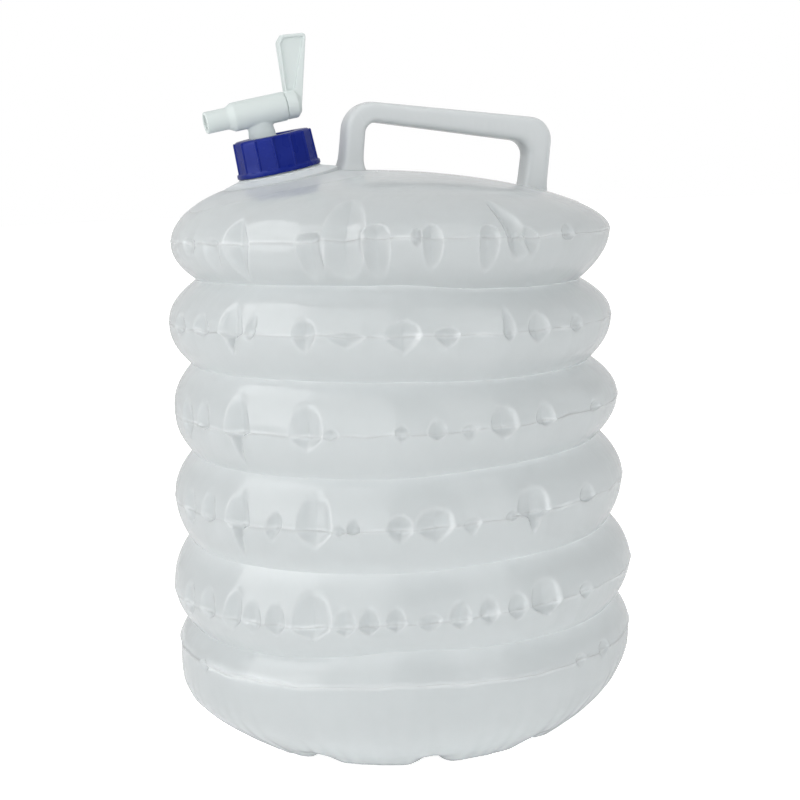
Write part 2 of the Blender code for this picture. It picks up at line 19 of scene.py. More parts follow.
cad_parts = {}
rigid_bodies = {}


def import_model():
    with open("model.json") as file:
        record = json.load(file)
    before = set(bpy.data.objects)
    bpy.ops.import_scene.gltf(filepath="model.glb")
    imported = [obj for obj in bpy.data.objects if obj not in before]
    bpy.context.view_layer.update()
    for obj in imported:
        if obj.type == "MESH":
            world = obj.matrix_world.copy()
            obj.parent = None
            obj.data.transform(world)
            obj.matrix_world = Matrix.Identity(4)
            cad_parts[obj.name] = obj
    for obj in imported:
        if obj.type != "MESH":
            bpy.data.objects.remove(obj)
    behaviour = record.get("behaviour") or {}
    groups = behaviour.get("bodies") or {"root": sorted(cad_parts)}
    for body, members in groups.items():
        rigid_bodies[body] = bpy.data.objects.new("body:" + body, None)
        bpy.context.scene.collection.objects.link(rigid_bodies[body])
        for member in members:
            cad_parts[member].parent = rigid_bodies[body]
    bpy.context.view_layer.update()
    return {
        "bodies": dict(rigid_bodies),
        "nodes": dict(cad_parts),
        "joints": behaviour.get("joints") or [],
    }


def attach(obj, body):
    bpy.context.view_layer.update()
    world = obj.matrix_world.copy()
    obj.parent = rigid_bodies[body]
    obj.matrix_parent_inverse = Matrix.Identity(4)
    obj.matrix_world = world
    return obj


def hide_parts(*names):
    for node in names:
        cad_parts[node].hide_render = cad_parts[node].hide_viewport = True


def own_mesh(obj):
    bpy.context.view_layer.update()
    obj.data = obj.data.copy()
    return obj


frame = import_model()

bl_info = {
    "name": "Collapsible water carrier",
    "version": (1, 0, 0),
    "blender": (4, 5, 0),
    "location": "3D View > Sidebar > Carrier",
    "description": "Builds the bellows body, handle, cap, tap and stage of a folding water carrier",
    "category": "Object",
}

# Crests, counted from the top: height and radius of each
CREST_HEIGHTS = (0.2593, 0.2151, 0.1709, 0.1267, 0.0825, 0.0525)
CREST_RADII = (0.1132, 0.1146, 0.1159, 0.1178, 0.1210, 0.1196)
LOWEST = 5

# Folds, counted from the top: depth of the valley, and the body that carries the fold
FOLD_DEPTHS = (0.0155, 0.0133, 0.0111, 0.0089, 0.0067)
FOLD_BODIES = ("crest_2", "crest_3", "crest_4", "crest_5", "base")

# Height of the shoulder over its crest, and the share by which it is higher towards the neck
SHOULDER_RISE = 0.0310
SHOULDER_LEAN = 0.25

# Gap that is left between the skins of two neighbouring pieces, on each side
HAIR = 0.00001

# The photograph's view: the front's direction, how much higher a point looks for each metre that
# it lies further back, the camera's turn, roll and place, and the lens and the picture in pixels
FRONT = math.radians(-107)
VIEW_RISE = 0.157
CAMERA_TURN = math.radians(17)
CAMERA_ROLL = math.radians(2.35)
CAMERA_ASIDE = 0.0027
CAMERA_ABOVE_CREST = 0.0507
LENS_PIXELS = 1685
PICTURE_PIXELS = 800

# How much the front of the body is raised at some heights, and its back lowered
TILT = (
    (0.1267, 0.1709, 0.2151, 0.2372, 0.2593, 0.2720, 0.2860),
    (0.0, 0.0004, 0.0022, 0.0027, 0.0032, 0.0018, 0.0),
)

# How far the left and the right side of the body is moved out and up at some heights, in millimetres
SIDE_HEIGHTS = (
    0.0000, 0.0300, 0.0525, 0.0675, 0.0825, 0.1046, 0.1267, 0.1488, 0.1709, 0.1930,
    0.2151, 0.2372, 0.2593, 0.2760, 0.2860,
)
LEFT_SHIFT = (
    (0.0, 0.0, 0.0, -1.0, 0.5, 0.5, 0.0, 1.0, -0.5, 3.1, 1.3, 2.1, -1.0, -1.6, 0.0),
    (0.0, 0.0, -2.5, -7.0, -3.5, 0.0, 0.0, 1.0, 0.0, 2.6, 2.2, 1.6, -0.8, 0.0, 0.0),
)
RIGHT_SHIFT = (
    (0.0, 0.0, 0.5, -0.8, 1.0, -0.4, 0.7, 0.0, 1.0, 0.5, 0.0, 0.3, 1.6, 0.5, 0.0),
    (0.0, 0.0, -3.0, -3.0, 2.0, 1.6, 2.4, 2.6, 0.5, -2.6, -2.6, -5.7, -3.2, -0.5, 0.0),
)

# Dents in front, for each crest: degrees right of the front, half width, reach up, reach down and
# depth in millimetres, slant, share of a sharp crease, share of a pointed end
FRONT_DENTS = {
    1: (
        (-60.0, 7.4, 2.9, 5.9, 0.7, 0.0, 0.3, 0.3), (-49.0, 6.6, 2.4, 14.4, 0.7, 0.0, 0.3, 0.2),
        (-39.7, 8.6, 12.7, 17.5, 2.0, 0.0, 0.7, 0.7), (-18.6, 6.9, 4.6, 17.5, 1.7, 0.0, 0.5, 0.2),
        (-10.4, 10.3, 21.9, 17.4, 2.5, 0.06, 0.8, 0.1), (-2.7, 6.4, 7.3, 17.5, 1.8, 0.0, 0.5, 0.2),
        (6.8, 2.3, 4.6, 4.1, 1.0, 0.0, 0.3, 0.3), (10.5, 4.7, 6.9, 12.8, 1.5, 0.0, 0.6, 0.3),
        (24.4, 5.2, 6.0, 12.9, 1.4, 0.0, 0.5, 0.3), (32.0, 6.2, 19.0, 9.3, 1.9, -0.25, 0.8, 0.3),
        (35.7, 4.9, 4.7, 7.5, 1.6, -0.39, 0.6, 0.5), (48.8, 4.9, 4.8, 2.4, 0.9, 0.0, 0.3, 0.3),
    ),
    2: (
        (-64.7, 7.8, 6.9, 3.0, 0.9, 0.0, 0.3, 0.3), (-53.0, 7.5, 8.7, 2.4, 1.1, 0.0, 0.4, 0.5),
        (-41.4, 8.3, 14.2, 9.4, 1.9, 0.0, 0.7, 0.4), (-35.3, 3.1, 10.3, 2.8, 0.9, 0.26, 0.4, 0.4),
        (-20.7, 6.1, 7.8, 8.3, 1.6, 0.0, 0.6, 0.3), (-10.6, 9.4, 2.3, 5.0, 1.0, 0.0, 0.6, 0.8),
        (2.6, 8.3, 6.8, 7.7, 1.7, 0.0, 0.5, 0.2), (13.1, 6.2, 3.7, 5.5, 1.3, 0.0, 0.5, 0.3),
        (28.8, 3.3, 13.9, 3.2, 1.1, 0.0, 0.6, 0.5), (37.7, 7.1, 9.4, 6.1, 1.5, 0.0, 0.6, 0.4),
        (51.5, 5.4, 5.8, 2.9, 0.9, 0.0, 0.3, 0.3),
    ),
    3: (
        (-63.9, 7.5, 9.9, 7.9, 1.0, 0.0, 0.3, 0.3), (-54.4, 6.0, 11.6, 1.4, 1.1, 0.0, 0.4, 0.3),
        (-41.2, 9.0, 16.0, 15.5, 2.0, 0.0, 0.7, 0.4), (-21.4, 8.7, 13.3, 7.3, 1.9, 0.0, 0.6, 0.2),
        (-15.2, 3.9, 3.7, 1.8, 1.0, 0.0, 0.5, 0.6), (1.4, 3.2, 4.5, 3.2, 1.1, 0.0, 0.4, 0.3),
        (9.7, 4.2, 6.4, 3.2, 1.2, 0.0, 0.4, 0.3), (17.4, 4.5, 2.7, 4.6, 0.8, 0.0, 0.4, 0.4),
        (26.3, 7.6, 10.1, 6.0, 1.7, 0.0, 0.5, 0.2), (38.2, 6.5, 9.4, 3.3, 1.4, 0.0, 0.6, 0.4),
        (57.8, 5.7, 4.4, 1.5, 0.8, 0.0, 0.3, 0.3),
    ),
    4: (
        (-62.9, 7.1, 9.8, 6.9, 1.0, 0.0, 0.3, 0.3), (-52.9, 6.6, 12.5, 2.4, 1.2, 0.0, 0.4, 0.3),
        (-41.6, 8.4, 14.6, 16.9, 2.0, 0.0, 0.7, 0.3), (-30.6, 4.6, 7.9, 6.9, 1.2, 0.25, 0.4, 0.4),
        (-20.1, 9.1, 16.5, 8.2, 2.1, 0.0, 0.5, 0.2), (-13.9, 3.4, 3.2, 1.8, 0.9, 0.0, 0.5, 0.6),
        (-10.6, 3.3, 5.9, 1.4, 1.0, 0.0, 0.4, 0.4), (0.1, 6.0, 6.8, 5.9, 1.6, 0.0, 0.5, 0.2),
        (8.3, 9.0, 9.1, 6.8, 1.8, 0.0, 0.4, 0.1), (16.7, 4.5, 2.7, 5.5, 0.9, 0.0, 0.4, 0.4),
        (27.1, 4.4, 3.2, 1.8, 0.9, 0.0, 0.5, 0.5), (33.3, 10.3, 12.5, 9.8, 1.9, 0.0, 0.5, 0.2),
        (51.6, 6.5, 6.7, 1.9, 1.0, 0.0, 0.3, 0.3),
    ),
    5: (
        (-62.5, 7.1, 9.8, 4.4, 1.0, 0.0, 0.3, 0.3), (-52.8, 6.7, 10.5, 2.9, 1.1, 0.0, 0.4, 0.3),
        (-43.4, 6.6, 12.7, 4.2, 1.4, 0.16, 0.5, 0.3), (-36.9, 5.8, 9.3, 4.7, 1.2, 0.0, 0.5, 0.3),
        (-30.3, 5.7, 10.1, 4.6, 1.3, 0.0, 0.5, 0.3), (-21.1, 10.3, 15.0, 5.5, 1.9, 0.0, 0.5, 0.2),
        (-13.1, 5.3, 8.2, 4.1, 1.2, 0.0, 0.5, 0.3), (-7.6, 4.7, 8.1, 4.1, 1.3, 0.0, 0.5, 0.3),
        (-1.6, 4.7, 8.1, 4.1, 1.3, 0.0, 0.5, 0.3), (5.9, 5.7, 4.5, 4.1, 1.0, 0.0, 0.4, 0.3),
        (12.9, 5.3, 8.2, 4.1, 1.3, 0.0, 0.5, 0.3), (19.7, 5.1, 8.2, 4.1, 1.3, 0.0, 0.5, 0.3),
        (26.8, 5.5, 8.3, 4.1, 1.3, 0.0, 0.5, 0.3), (34.8, 9.4, 12.1, 4.6, 1.8, 0.0, 0.4, 0.1),
        (47.6, 5.0, 4.3, 2.8, 0.9, 0.0, 0.3, 0.3),
    ),
    6: (
        (-57.5, 5.0, 2.5, 5.8, 1.0, 0.0, 0.8, 0.9), (46.0, 4.4, 3.0, 4.3, 0.6, 0.0, 0.4, 0.4),
        (56.0, 5.4, 4.8, 5.3, 0.7, 0.0, 0.4, 0.4),
    ),
}

# The part of the back that gets made-up dents, in degrees right of the front
BACK_START = 92
BACK_END = 268

# The neck's own frame, taken from the joints: Z along its axis, zero at the cap's top face
joints = {joint["name"]: joint for joint in frame["joints"]}
NECK_AXIS = Vector(joints["cap_turn"]["axis"])
ACROSS = Vector((NECK_AXIS.z, 0, -NECK_AXIS.x))
BARREL_RISE = (
    Vector(joints["lever_turn"]["pos_m"]) - Vector(joints["cap_turn"]["pos_m"])
).length
NECK_RADIUS = 0.0166
NECK_RIM = -0.0067
COLLAR_TOP = -0.0187
CAP_UNDERSIDE = -0.0184
CAP_LIP = CAP_UNDERSIDE + 0.0018
STEM_OFFSET = 0.0046


def neck_frame():
    """Matrix from the neck's own frame to the object's."""
    place = Matrix((ACROSS, (0, 1, 0), NECK_AXIS)).transposed().to_4x4()
    place.translation = Vector(joints["cap_turn"]["pos_m"])
    return place


class BodySizes(PropertyGroup):
    """Sizes and colour of the milky body."""

    wall: FloatProperty(
        name="Wall", description="Thickness of the body's wall",
        default=0.0010, precision=4, unit="LENGTH"
    )
    roundness: FloatProperty(
        name="Fold roundness", description="How full each fold is at its crest", default=2.0
    )
    ridge_height: FloatProperty(
        name="Crest ridge", description="Height of the fine ridge along a crest",
        default=0.00034, precision=5, unit="LENGTH"
    )
    ridge_width: FloatProperty(
        name="Ridge width", description="Half width of the fine ridge along a crest",
        default=0.0008, precision=5, unit="LENGTH"
    )
    dents: FloatProperty(
        name="Dents", description="Strength of the dents along the crests", default=2.5, min=0.0
    )
    turns: IntProperty(
        name="Faces round", description="Faces round each fold, a multiple of three",
        default=900, min=90, step=3
    )
    rows: IntProperty(
        name="Rows", description="Rows of faces from crest to crest", default=40, min=10
    )
    colour: FloatVectorProperty(
        name="Colour", description="Colour of the milky polyethylene",
        subtype="COLOR", size=3, default=(0.455, 0.475, 0.480), min=0.0, max=1.0
    )


class HandleSizes(PropertyGroup):
    """Sizes of the loop handle."""

    depth: FloatProperty(
        name="Depth", description="Depth of the handle from front to back",
        default=0.0160, precision=4, unit="LENGTH"
    )
    wall: FloatProperty(
        name="Wall", description="Thickness of the hollow handle's wall",
        default=0.0016, precision=4, unit="LENGTH"
    )
    flare: FloatProperty(
        name="Flare", description="How much wider the handle is where it meets the shoulder",
        default=0.62, min=0.0
    )


class CapSizes(PropertyGroup):
    """Sizes and colour of the screw cap."""

    ribs: IntProperty(name="Ribs", description="Grip ribs round the cap", default=14, min=3)
    radius: FloatProperty(
        name="Radius", description="Radius of the cap's side", default=0.0206,
        precision=4, unit="LENGTH"
    )
    rib_radius: FloatProperty(
        name="Rib radius", description="Radius of each rib's rounded back", default=0.00065,
        precision=5, unit="LENGTH"
    )
    colour: FloatVectorProperty(
        name="Colour", description="Colour of the cap", subtype="COLOR", size=3,
        default=(0.004, 0.014, 0.20), min=0.0, max=1.0
    )


class TapSizes(PropertyGroup):
    """Fineness and colour of the tap and its lever."""

    fillet_voxel: FloatProperty(
        name="Fineness", description="Size of the cells that blend the tap's parts together",
        default=0.00035, precision=5, unit="LENGTH"
    )
    fillet_rounds: IntProperty(
        name="Softening", description="Rounds of smoothing of the moulded edges", default=6
    )
    colour: FloatVectorProperty(
        name="Colour", description="Colour of the tap", subtype="COLOR", size=3,
        default=(0.93, 0.985, 0.975), min=0.0, max=1.0
    )


class StageSizes(PropertyGroup):
    """Floor, light and camera."""

    floor_radius: FloatProperty(
        name="Floor radius", description="Radius of the pale floor", default=6.0, unit="LENGTH"
    )
    daylight: FloatProperty(
        name="Daylight", description="Strength of the even white light", default=0.70, min=0.0
    )
    inner_glow: FloatProperty(
        name="Inner glow", description="Power of the lights that fill the hollow body",
        default=0.108, min=0.0
    )
    room_shade: FloatProperty(
        name="Room shade", description="How much darker the room is in reflections",
        default=0.65, min=0.0, max=1.0
    )
    camera_distance: FloatProperty(
        name="Camera distance", description="Distance from the body's axis to the camera",
        default=0.881, unit="LENGTH"
    )
    camera_pitch: FloatProperty(
        name="Camera pitch", description="How far the camera looks down",
        subtype="ANGLE", default=math.radians(9.05)
    )


class Wiring:
    """Adds nodes to a tree and joins them, so that a formula takes one line."""

    def __init__(self, tree):
        self.tree = tree

    def node(self, kind, inputs=None, **settings):
        """A new node with its settings, and its inputs fed by name or number."""
        made = self.tree.nodes.new(kind)
        for name, value in settings.items():
            setattr(made, name, value)
        for socket, value in (inputs or {}).items():
            self.feed(made.inputs[socket], value)
        return made

    def feed(self, socket, value):
        if isinstance(value, bpy.types.NodeSocket):
            self.tree.links.new(value, socket)
        else:
            socket.default_value = value

    def calc(self, operation, *values):
        return self.node("ShaderNodeMath", dict(enumerate(values)), operation=operation).outputs[0]

    def add(self, first, second):
        return self.calc("ADD", first, second)

    def take(self, first, second):
        return self.calc("SUBTRACT", first, second)

    def times(self, first, second):
        return self.calc("MULTIPLY", first, second)

    def vector(self, *parts):
        return self.node("ShaderNodeCombineXYZ", dict(enumerate(parts))).outputs[0]

    def mapped(self, value, low, high, to_low=0.0, to_high=1.0, kind="LINEAR"):
        """The value moved from one range to another, and kept within it."""
        ranges = {"From Min": low, "From Max": high, "To Min": to_low, "To Max": to_high}
        made = self.node("ShaderNodeMapRange", {"Value": value, **ranges}, interpolation_type=kind)
        return made.outputs[0]


# Kinds of the sockets that aren't plain numbers
SOCKETS = {
    "Geometry": "NodeSocketGeometry", "Material": "NodeSocketMaterial",
    "Vector": "NodeSocketVector", "Centre": "NodeSocketVector",
    "Colour": "NodeSocketColor", "Thick Colour": "NodeSocketColor",
    "Ribs": "NodeSocketInt", "Faces Round": "NodeSocketInt", "Rows": "NodeSocketInt",
}


def new_tree(name, kind, inputs, outputs):
    """A node group with sockets of those names, and its two end nodes."""
    tree = bpy.data.node_groups.new(name, kind)
    for way, labels in (("INPUT", inputs), ("OUTPUT", outputs)):
        for label in labels:
            socket = SOCKETS.get(label, "NodeSocketFloat")
            tree.interface.new_socket(label, in_out=way, socket_type=socket)
    wiring = Wiring(tree)
    source = wiring.node("NodeGroupInput").outputs
    result = wiring.node("NodeGroupOutput").inputs
    return wiring, source, result


def finish_geometry(wiring, result, shape, surface):
    """Ends a geometry tree: real meshes with their material."""
    real = wiring.node("GeometryNodeRealizeInstances", {"Geometry": shape}).outputs[0]
    inputs = {"Geometry": real, "Material": surface}
    wiring.feed(result["Geometry"], wiring.node("GeometryNodeSetMaterial", inputs).outputs[0])
    return wiring.tree


def link_object(name, mesh):
    obj = bpy.data.objects.new(name, mesh)
    bpy.context.scene.collection.objects.link(obj)
    return obj


def baked(obj):
    """The plain mesh of the object with its modifiers in it. The modifiers are removed."""
    bpy.context.view_layer.update()
    seen = obj.evaluated_get(bpy.context.evaluated_depsgraph_get())
    mesh = bpy.data.meshes.new_from_object(seen)
    obj.modifiers.clear()
    obj.data = mesh
    return obj


def grow(obj, tree, values):
    """Runs a geometry tree on the object with the named inputs and keeps the plain mesh."""
    modifier = obj.modifiers.new(tree.name, "NODES")
    modifier.node_group = tree
    for item in tree.interface.items_tree:
        if item.in_out == "INPUT" and item.name in values:
            modifier[item.identifier] = values[item.name]
    return baked(obj)


@contextmanager
def edited(mesh):
    """The mesh as a bmesh inside a with block, written back at its end."""
    bm = bmesh.new()
    bm.from_mesh(mesh)
    yield bm
    bm.to_mesh(mesh)
    bm.free()


def mesh_from_grid(name, grid):
    """Faces over a (rows, columns, 3) array of points, whose columns go round."""
    rows, columns = grid.shape[:2]
    mesh = bpy.data.meshes.new(name)
    faces = []
    for row in range(rows - 1):
        for column in range(columns):
            after = (column + 1) % columns
            faces.append(
                (row * columns + column, row * columns + after,
                 (row + 1) * columns + after, (row + 1) * columns + column)
            )
    mesh.from_pydata(grid.reshape(-1, 3).tolist(), [], faces)
    return mesh


def mesh_from_rings(name, rings):
    """Faces over closed rings of points, where a ring may have fewer points than the last one."""
    mesh = bpy.data.meshes.new(name)
    faces = []
    start = 0
    for outer, inner in zip(rings, rings[1:]):
        ratio = len(outer) // len(inner)
        after = start + len(outer)
        for column in range(len(inner)):
            along = [
                start + (column * ratio + step) % len(outer) for step in range(ratio + 1)
            ]
            faces.append(along + [after + (column + 1) % len(inner), after + column])
        start = after
    mesh.from_pydata([tuple(point) for ring in rings for point in ring], [], faces)
    mesh.update()
    return mesh


def points_of(mesh):
    flat = np.empty(len(mesh.vertices) * 3)
    mesh.vertices.foreach_get("co", flat)
    return flat.reshape(-1, 3)


def move_points(mesh, points):
    mesh.vertices.foreach_set("co", points.ravel())
    mesh.update()


def give_wall(obj, thickness, shares=None):
    """Turns a skin into a closed wall that reaches inwards, with a share of it at each point."""
    wall = obj.modifiers.new("wall", "SOLIDIFY")
    wall.thickness = thickness
    wall.offset = -1
    wall.use_even_offset = False
    if shares is not None:
        group = obj.vertex_groups.new(name="wall")
        group.add(np.nonzero(shares >= 1)[0].tolist(), 1.0, "REPLACE")
        for index in np.nonzero(shares < 1)[0].tolist():
            group.add([index], float(shares[index]), "REPLACE")
        wall.vertex_group = group.name
    return baked(obj)


def wall_shares(points, stretched, *folding_lines):
    """Share of the wall's thickness at each point: thinner where the body folds or is stretched."""
    angle = np.arctan2(points[:, 1], points[:, 0])
    shares = np.ones(len(points))
    for line in folding_lines:
        least = 0.42 + 0.20 * waves(angle, line * 1000, (9, 17, 29, 43), 3)
        reach = 0.0025
        if line == CREST_HEIGHTS[0]:
            least -= 0.10
        if line == CREST_HEIGHTS[-1]:
            left = ridge_fade(angle) * np.clip((-15 - degrees_right(angle)) / 25, 0, 1)
            least = 0.46 - 0.26 * ridge_fade(angle) - 0.10 * left
            reach = 0.0025 + 0.0030 * left
        near = np.abs(points[:, 2] - line) / reach
        shares = np.minimum(shares, np.maximum(least, 0.1) + near)
    if len(folding_lines) == 2:
        near = np.abs(points[:, 2] - sum(folding_lines) / 2) / 0.008
        shares = np.minimum(shares, 0.62 + 0.38 * near)
    return shares * (1 - 0.62 * stretched)


def smooth(obj, angle=35):
    obj.data.shade_smooth()
    obj.data.set_sharp_from_angle(angle=math.radians(angle))
    return obj


def dress(obj, surface, slot, body, *nodes):
    """Gives a finished piece its material, its body and the nodes it stands for."""
    obj.data.materials.clear()
    obj.data.materials.append(surface)
    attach(obj, body)
    if nodes:
        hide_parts(*nodes)
    return obj


def all_dents():
    """The dents of every crest as seen in front, and made-up ones round the back."""
    chance = random.Random(41)
    dents = {crest: list(rows) for crest, rows in FRONT_DENTS.items()}
    for crest in range(1, LOWEST + 1):
        turn = BACK_START + chance.uniform(0, 6)
        while turn < BACK_END:
            size = chance.choice((0.6, 0.8, 1.0, 1.3))
            half = 7.0 * size * chance.uniform(0.8, 1.1)
            up = chance.uniform(5, 15) * size
            down = chance.uniform(3, 11) * size
            depth = min(2.2, 0.75 + 0.9 * size)
            dents[crest].append(
                (turn, half, min(up, 14), min(down, 12), depth, chance.uniform(-0.2, 0.2),
                 chance.uniform(0.3, 0.7), chance.uniform(0.1, 0.6))
            )
            turn += 0.5 * half + chance.choice((2.5, 4, 9, 14))
    return dents


def dent_field(rows, radius, angle, rise, below):
    """How far a skin is pressed in at each angle and rise, and where the dents' walls are."""
    depth_here = np.zeros_like(angle)
    walls = np.zeros_like(angle)
    for turn, half, up, down, depth, slant, crease, pointed in rows:
        away = (angle - FRONT - math.radians(turn) + math.pi) % math.tau - math.pi
        across = away * radius * 1000 - slant * rise
        reach = np.where(rise >= 0, rise / up, -rise / down)
        inside = np.clip(reach, 0, 1)
        pointed = np.where(rise < 0, max(pointed, below), pointed)
        narrow = (1 - inside ** (3 - 2 * pointed)) ** (0.34 + 0.66 * pointed)
        slit = 1 - (0.55 if down > 9 and below > 0.5 else 0.0) * np.clip(-rise / 2.5, 0, 1)
        share = np.abs(across) / (half * slit * np.maximum(narrow, 1e-4))
        near = share < 1
        bowl = (1 - np.minimum(share, 1) ** 3.5) ** 0.75
        profile = crease * (1 - share) + (1 - crease) * bowl
        along = 1 - inside ** (3.5 - 2 * pointed)
        pressed = np.where(near & (reach < 1), depth * profile * along, 0)
        lip = np.exp(-(((share - 1.09) / 0.10) ** 2)) * 0.22 * depth * (1 - inside**2)
        lip = np.where(reach < 1, lip, 0)
        depth_here = np.maximum(depth_here, pressed) - np.where(pressed > 0, 0, lip)
        wall = np.exp(-(((share - 0.88) / 0.10) ** 2)) * (1 - inside**4) * min(1.0, depth / 1.5)
        wall = np.where(reach < 1, wall * np.where(across > 0, 1.0, 0.36), 0)
        walls = np.maximum(walls, wall)
    return depth_here, walls


def flat_field(rows, radius, angle, rise):
    """How far the wall is drawn straight between two dents that stand well apart."""
    drawn = np.zeros_like(angle)
    ordered = sorted(rows)
    for left, right in zip(ordered, ordered[1:]):
        start = math.radians(left[0]) + left[1] / 1000 / radius * 0.8
        end = math.radians(right[0]) - right[1] / 1000 / radius * 0.8
        half = (end - start) / 2
        if not math.radians(2.5) < half < math.radians(12):
            continue
        away = (angle - FRONT - (start + end) / 2 + math.pi) % math.tau - math.pi
        chord = radius - radius * math.cos(half) / np.cos(np.clip(away, -half, half))
        chord = np.where(np.abs(away) < half, chord, 0) * 1000
        fade = np.clip(1 - (rise / 17) ** 2, 0, 1) ** 2
        drawn += 0.85 * np.minimum(chord, 1.6) * fade
    return drawn


def degrees_right(angle):
    return np.degrees((angle - FRONT + math.pi) % math.tau - math.pi)


def ridge_fade(angle):
    """Where the thick ridge of the lowest crest is: from its left end until it fades on the right."""
    turn = degrees_right(angle)
    return np.clip((turn + 60) / 5, 0, 1) * np.clip((52 - turn) / 30, 0, 1)


def seam_ridge(angle, rise):
    """Height of the thick ridge along the lowest crest, which ends in a knob on the left."""
    turn = degrees_right(angle)
    thick = 0.90 - 0.45 * np.clip((turn + 50) / 70, 0, 1)
    line = thick * np.exp(-((rise / 1.3) ** 2)) * (0.2 + 0.8 * ridge_fade(angle))
    knob = 0.8 * np.exp(-(((turn + 56.0) / 1.7) ** 2) - ((rise - 0.8) / 2.0) ** 2)
    return line + knob


def waves(angle, phase, counts, seed):
    chance = random.Random(seed)
    total = np.zeros_like(angle)
    for count in counts:
        total += np.sin(count * angle + chance.uniform(0, math.tau) + phase * count * 0.1)
    return total / len(counts)


def pull_sides(points, moved):
    """Pulls dented points as the body was by hand: front and back in height, sides out and up."""
    x, y, z = points.T
    angle = np.arctan2(y, x)
    radius = np.hypot(x, y)
    ahead = (x * math.cos(FRONT) + y * math.sin(FRONT)) / CREST_RADII[0]
    moved[:, 2] += ahead * np.interp(z, *TILT)
    aside = np.sin(angle - FRONT)
    amount = 1.12 * aside**2 / (aside**2 + 0.12) * np.clip(radius / 0.09, 0, 1) ** 2 / 1000
    for side, (out, up) in ((aside < 0, LEFT_SHIFT), (aside >= 0, RIGHT_SHIFT)):
        share = np.where(side, amount, 0)
        stretch = 1 + share * np.interp(z, SIDE_HEIGHTS, out) / np.maximum(radius, 1e-6)
        moved[:, 0] *= stretch
        moved[:, 1] *= stretch
        moved[:, 2] += share * np.interp(z, SIDE_HEIGHTS, up)


def room_left(k, rise):
    """Millimetres from each point near a crest to the next valley, or 99 if there is none."""
    room = np.full(len(rise), 99.0)
    if k < LOWEST:
        half = 500 * (CREST_HEIGHTS[k] - CREST_HEIGHTS[k + 1])
        room = np.where(rise < 0, half - 1.5 + rise, room)
    if k > 0:
        half = 500 * (CREST_HEIGHTS[k - 1] - CREST_HEIGHTS[k])
        room = np.where(rise >= 0, half - rise, room)
    return room


def work_skin(points, strength):
    """Presses dents and slight waves into a skin's points, and tells where the dents' walls are."""
    dents = all_dents()
    x, y, z = points.T
    angle = np.arctan2(y, x)
    radius = np.hypot(x, y)
    pressed, sunk, tilt, walls = np.zeros((4, len(points)))
    middles = [(upper + lower) / 2 for upper, lower in zip(CREST_HEIGHTS, CREST_HEIGHTS[1:])]
    edges = [10.0, *middles, -1.0]
    for k, (height, crest) in enumerate(zip(CREST_HEIGHTS, CREST_RADII)):
        mine = (z < edges[k]) & (z >= edges[k + 1])
        if not mine.any():
            continue
        rise = 1000 * ((z[mine] - height) + VIEW_RISE * (crest - radius[mine]))
        rows = dents[k + 1]
        here, walls[mine] = dent_field(rows, crest, angle[mine], rise, 0.85 if k else 0.2)
        if k == LOWEST:
            here = here - seam_ridge(angle[mine], rise) / strength
        else:
            here = here + flat_field(rows, crest, angle[mine], rise)
        ease = np.clip(room_left(k, rise) / 2.5, 0, 1)
        wander = waves(angle[mine], k, (7, 11, 17, 23, 31), 5 + k)
        pressed[mine] = here * ease + 0.18 * wander * np.exp(-((rise / 9) ** 2))
        lift = waves(angle[mine], k, (13, 19, 29, 37), 60 + k)
        sunk[mine] = (0.28 * lift - 0.18 * here) * np.exp(-((rise / 5) ** 2))
        tilt[mine] = np.radians(50) * np.clip(rise / 22, -1, 1)
    inward = pressed * strength / 1000
    scale = 1 - inward * np.cos(tilt) / np.maximum(radius, 1e-6)
    moved = points.copy()
    moved[:, 0] *= scale
    moved[:, 1] *= scale
    moved[:, 2] += sunk * strength / 1000 - inward * np.sin(tilt)
    pull_sides(points, moved)
    return moved, walls


def dented_wall(skin, sizes, *folding_lines, still_below=-1.0, closed=True):
    """Turns a plain skin into the body's wall, dented above one height and closed at its pole."""
    points = points_of(skin.data)
    worked, walls = work_skin(points, sizes.dents)
    move_points(skin.data, np.where(points[:, 2:] > still_below, worked, points))
    if closed:
        close_pole(skin.data)
    return give_wall(skin, sizes.wall, wall_shares(points, walls, *folding_lines))


def shoulder_height(x, y):
    """Height of the shoulder's surface over a point, with its slight plateau."""
    radius = CREST_RADII[0]
    out = np.clip(np.hypot(x, y) / radius, 0, 1)
    rise = SHOULDER_RISE * np.sqrt(1 - out**2)
    step = np.clip((out * radius - 0.0855) / -0.0030, 0, 1)
    rise = rise + 0.00035 * step * step * (3 - 2 * step) * np.exp(-(((x - 0.02) / 0.045) ** 2))
    return CREST_HEIGHTS[0] + rise * (1 - SHOULDER_LEAN * x / radius)


# Geometry trees

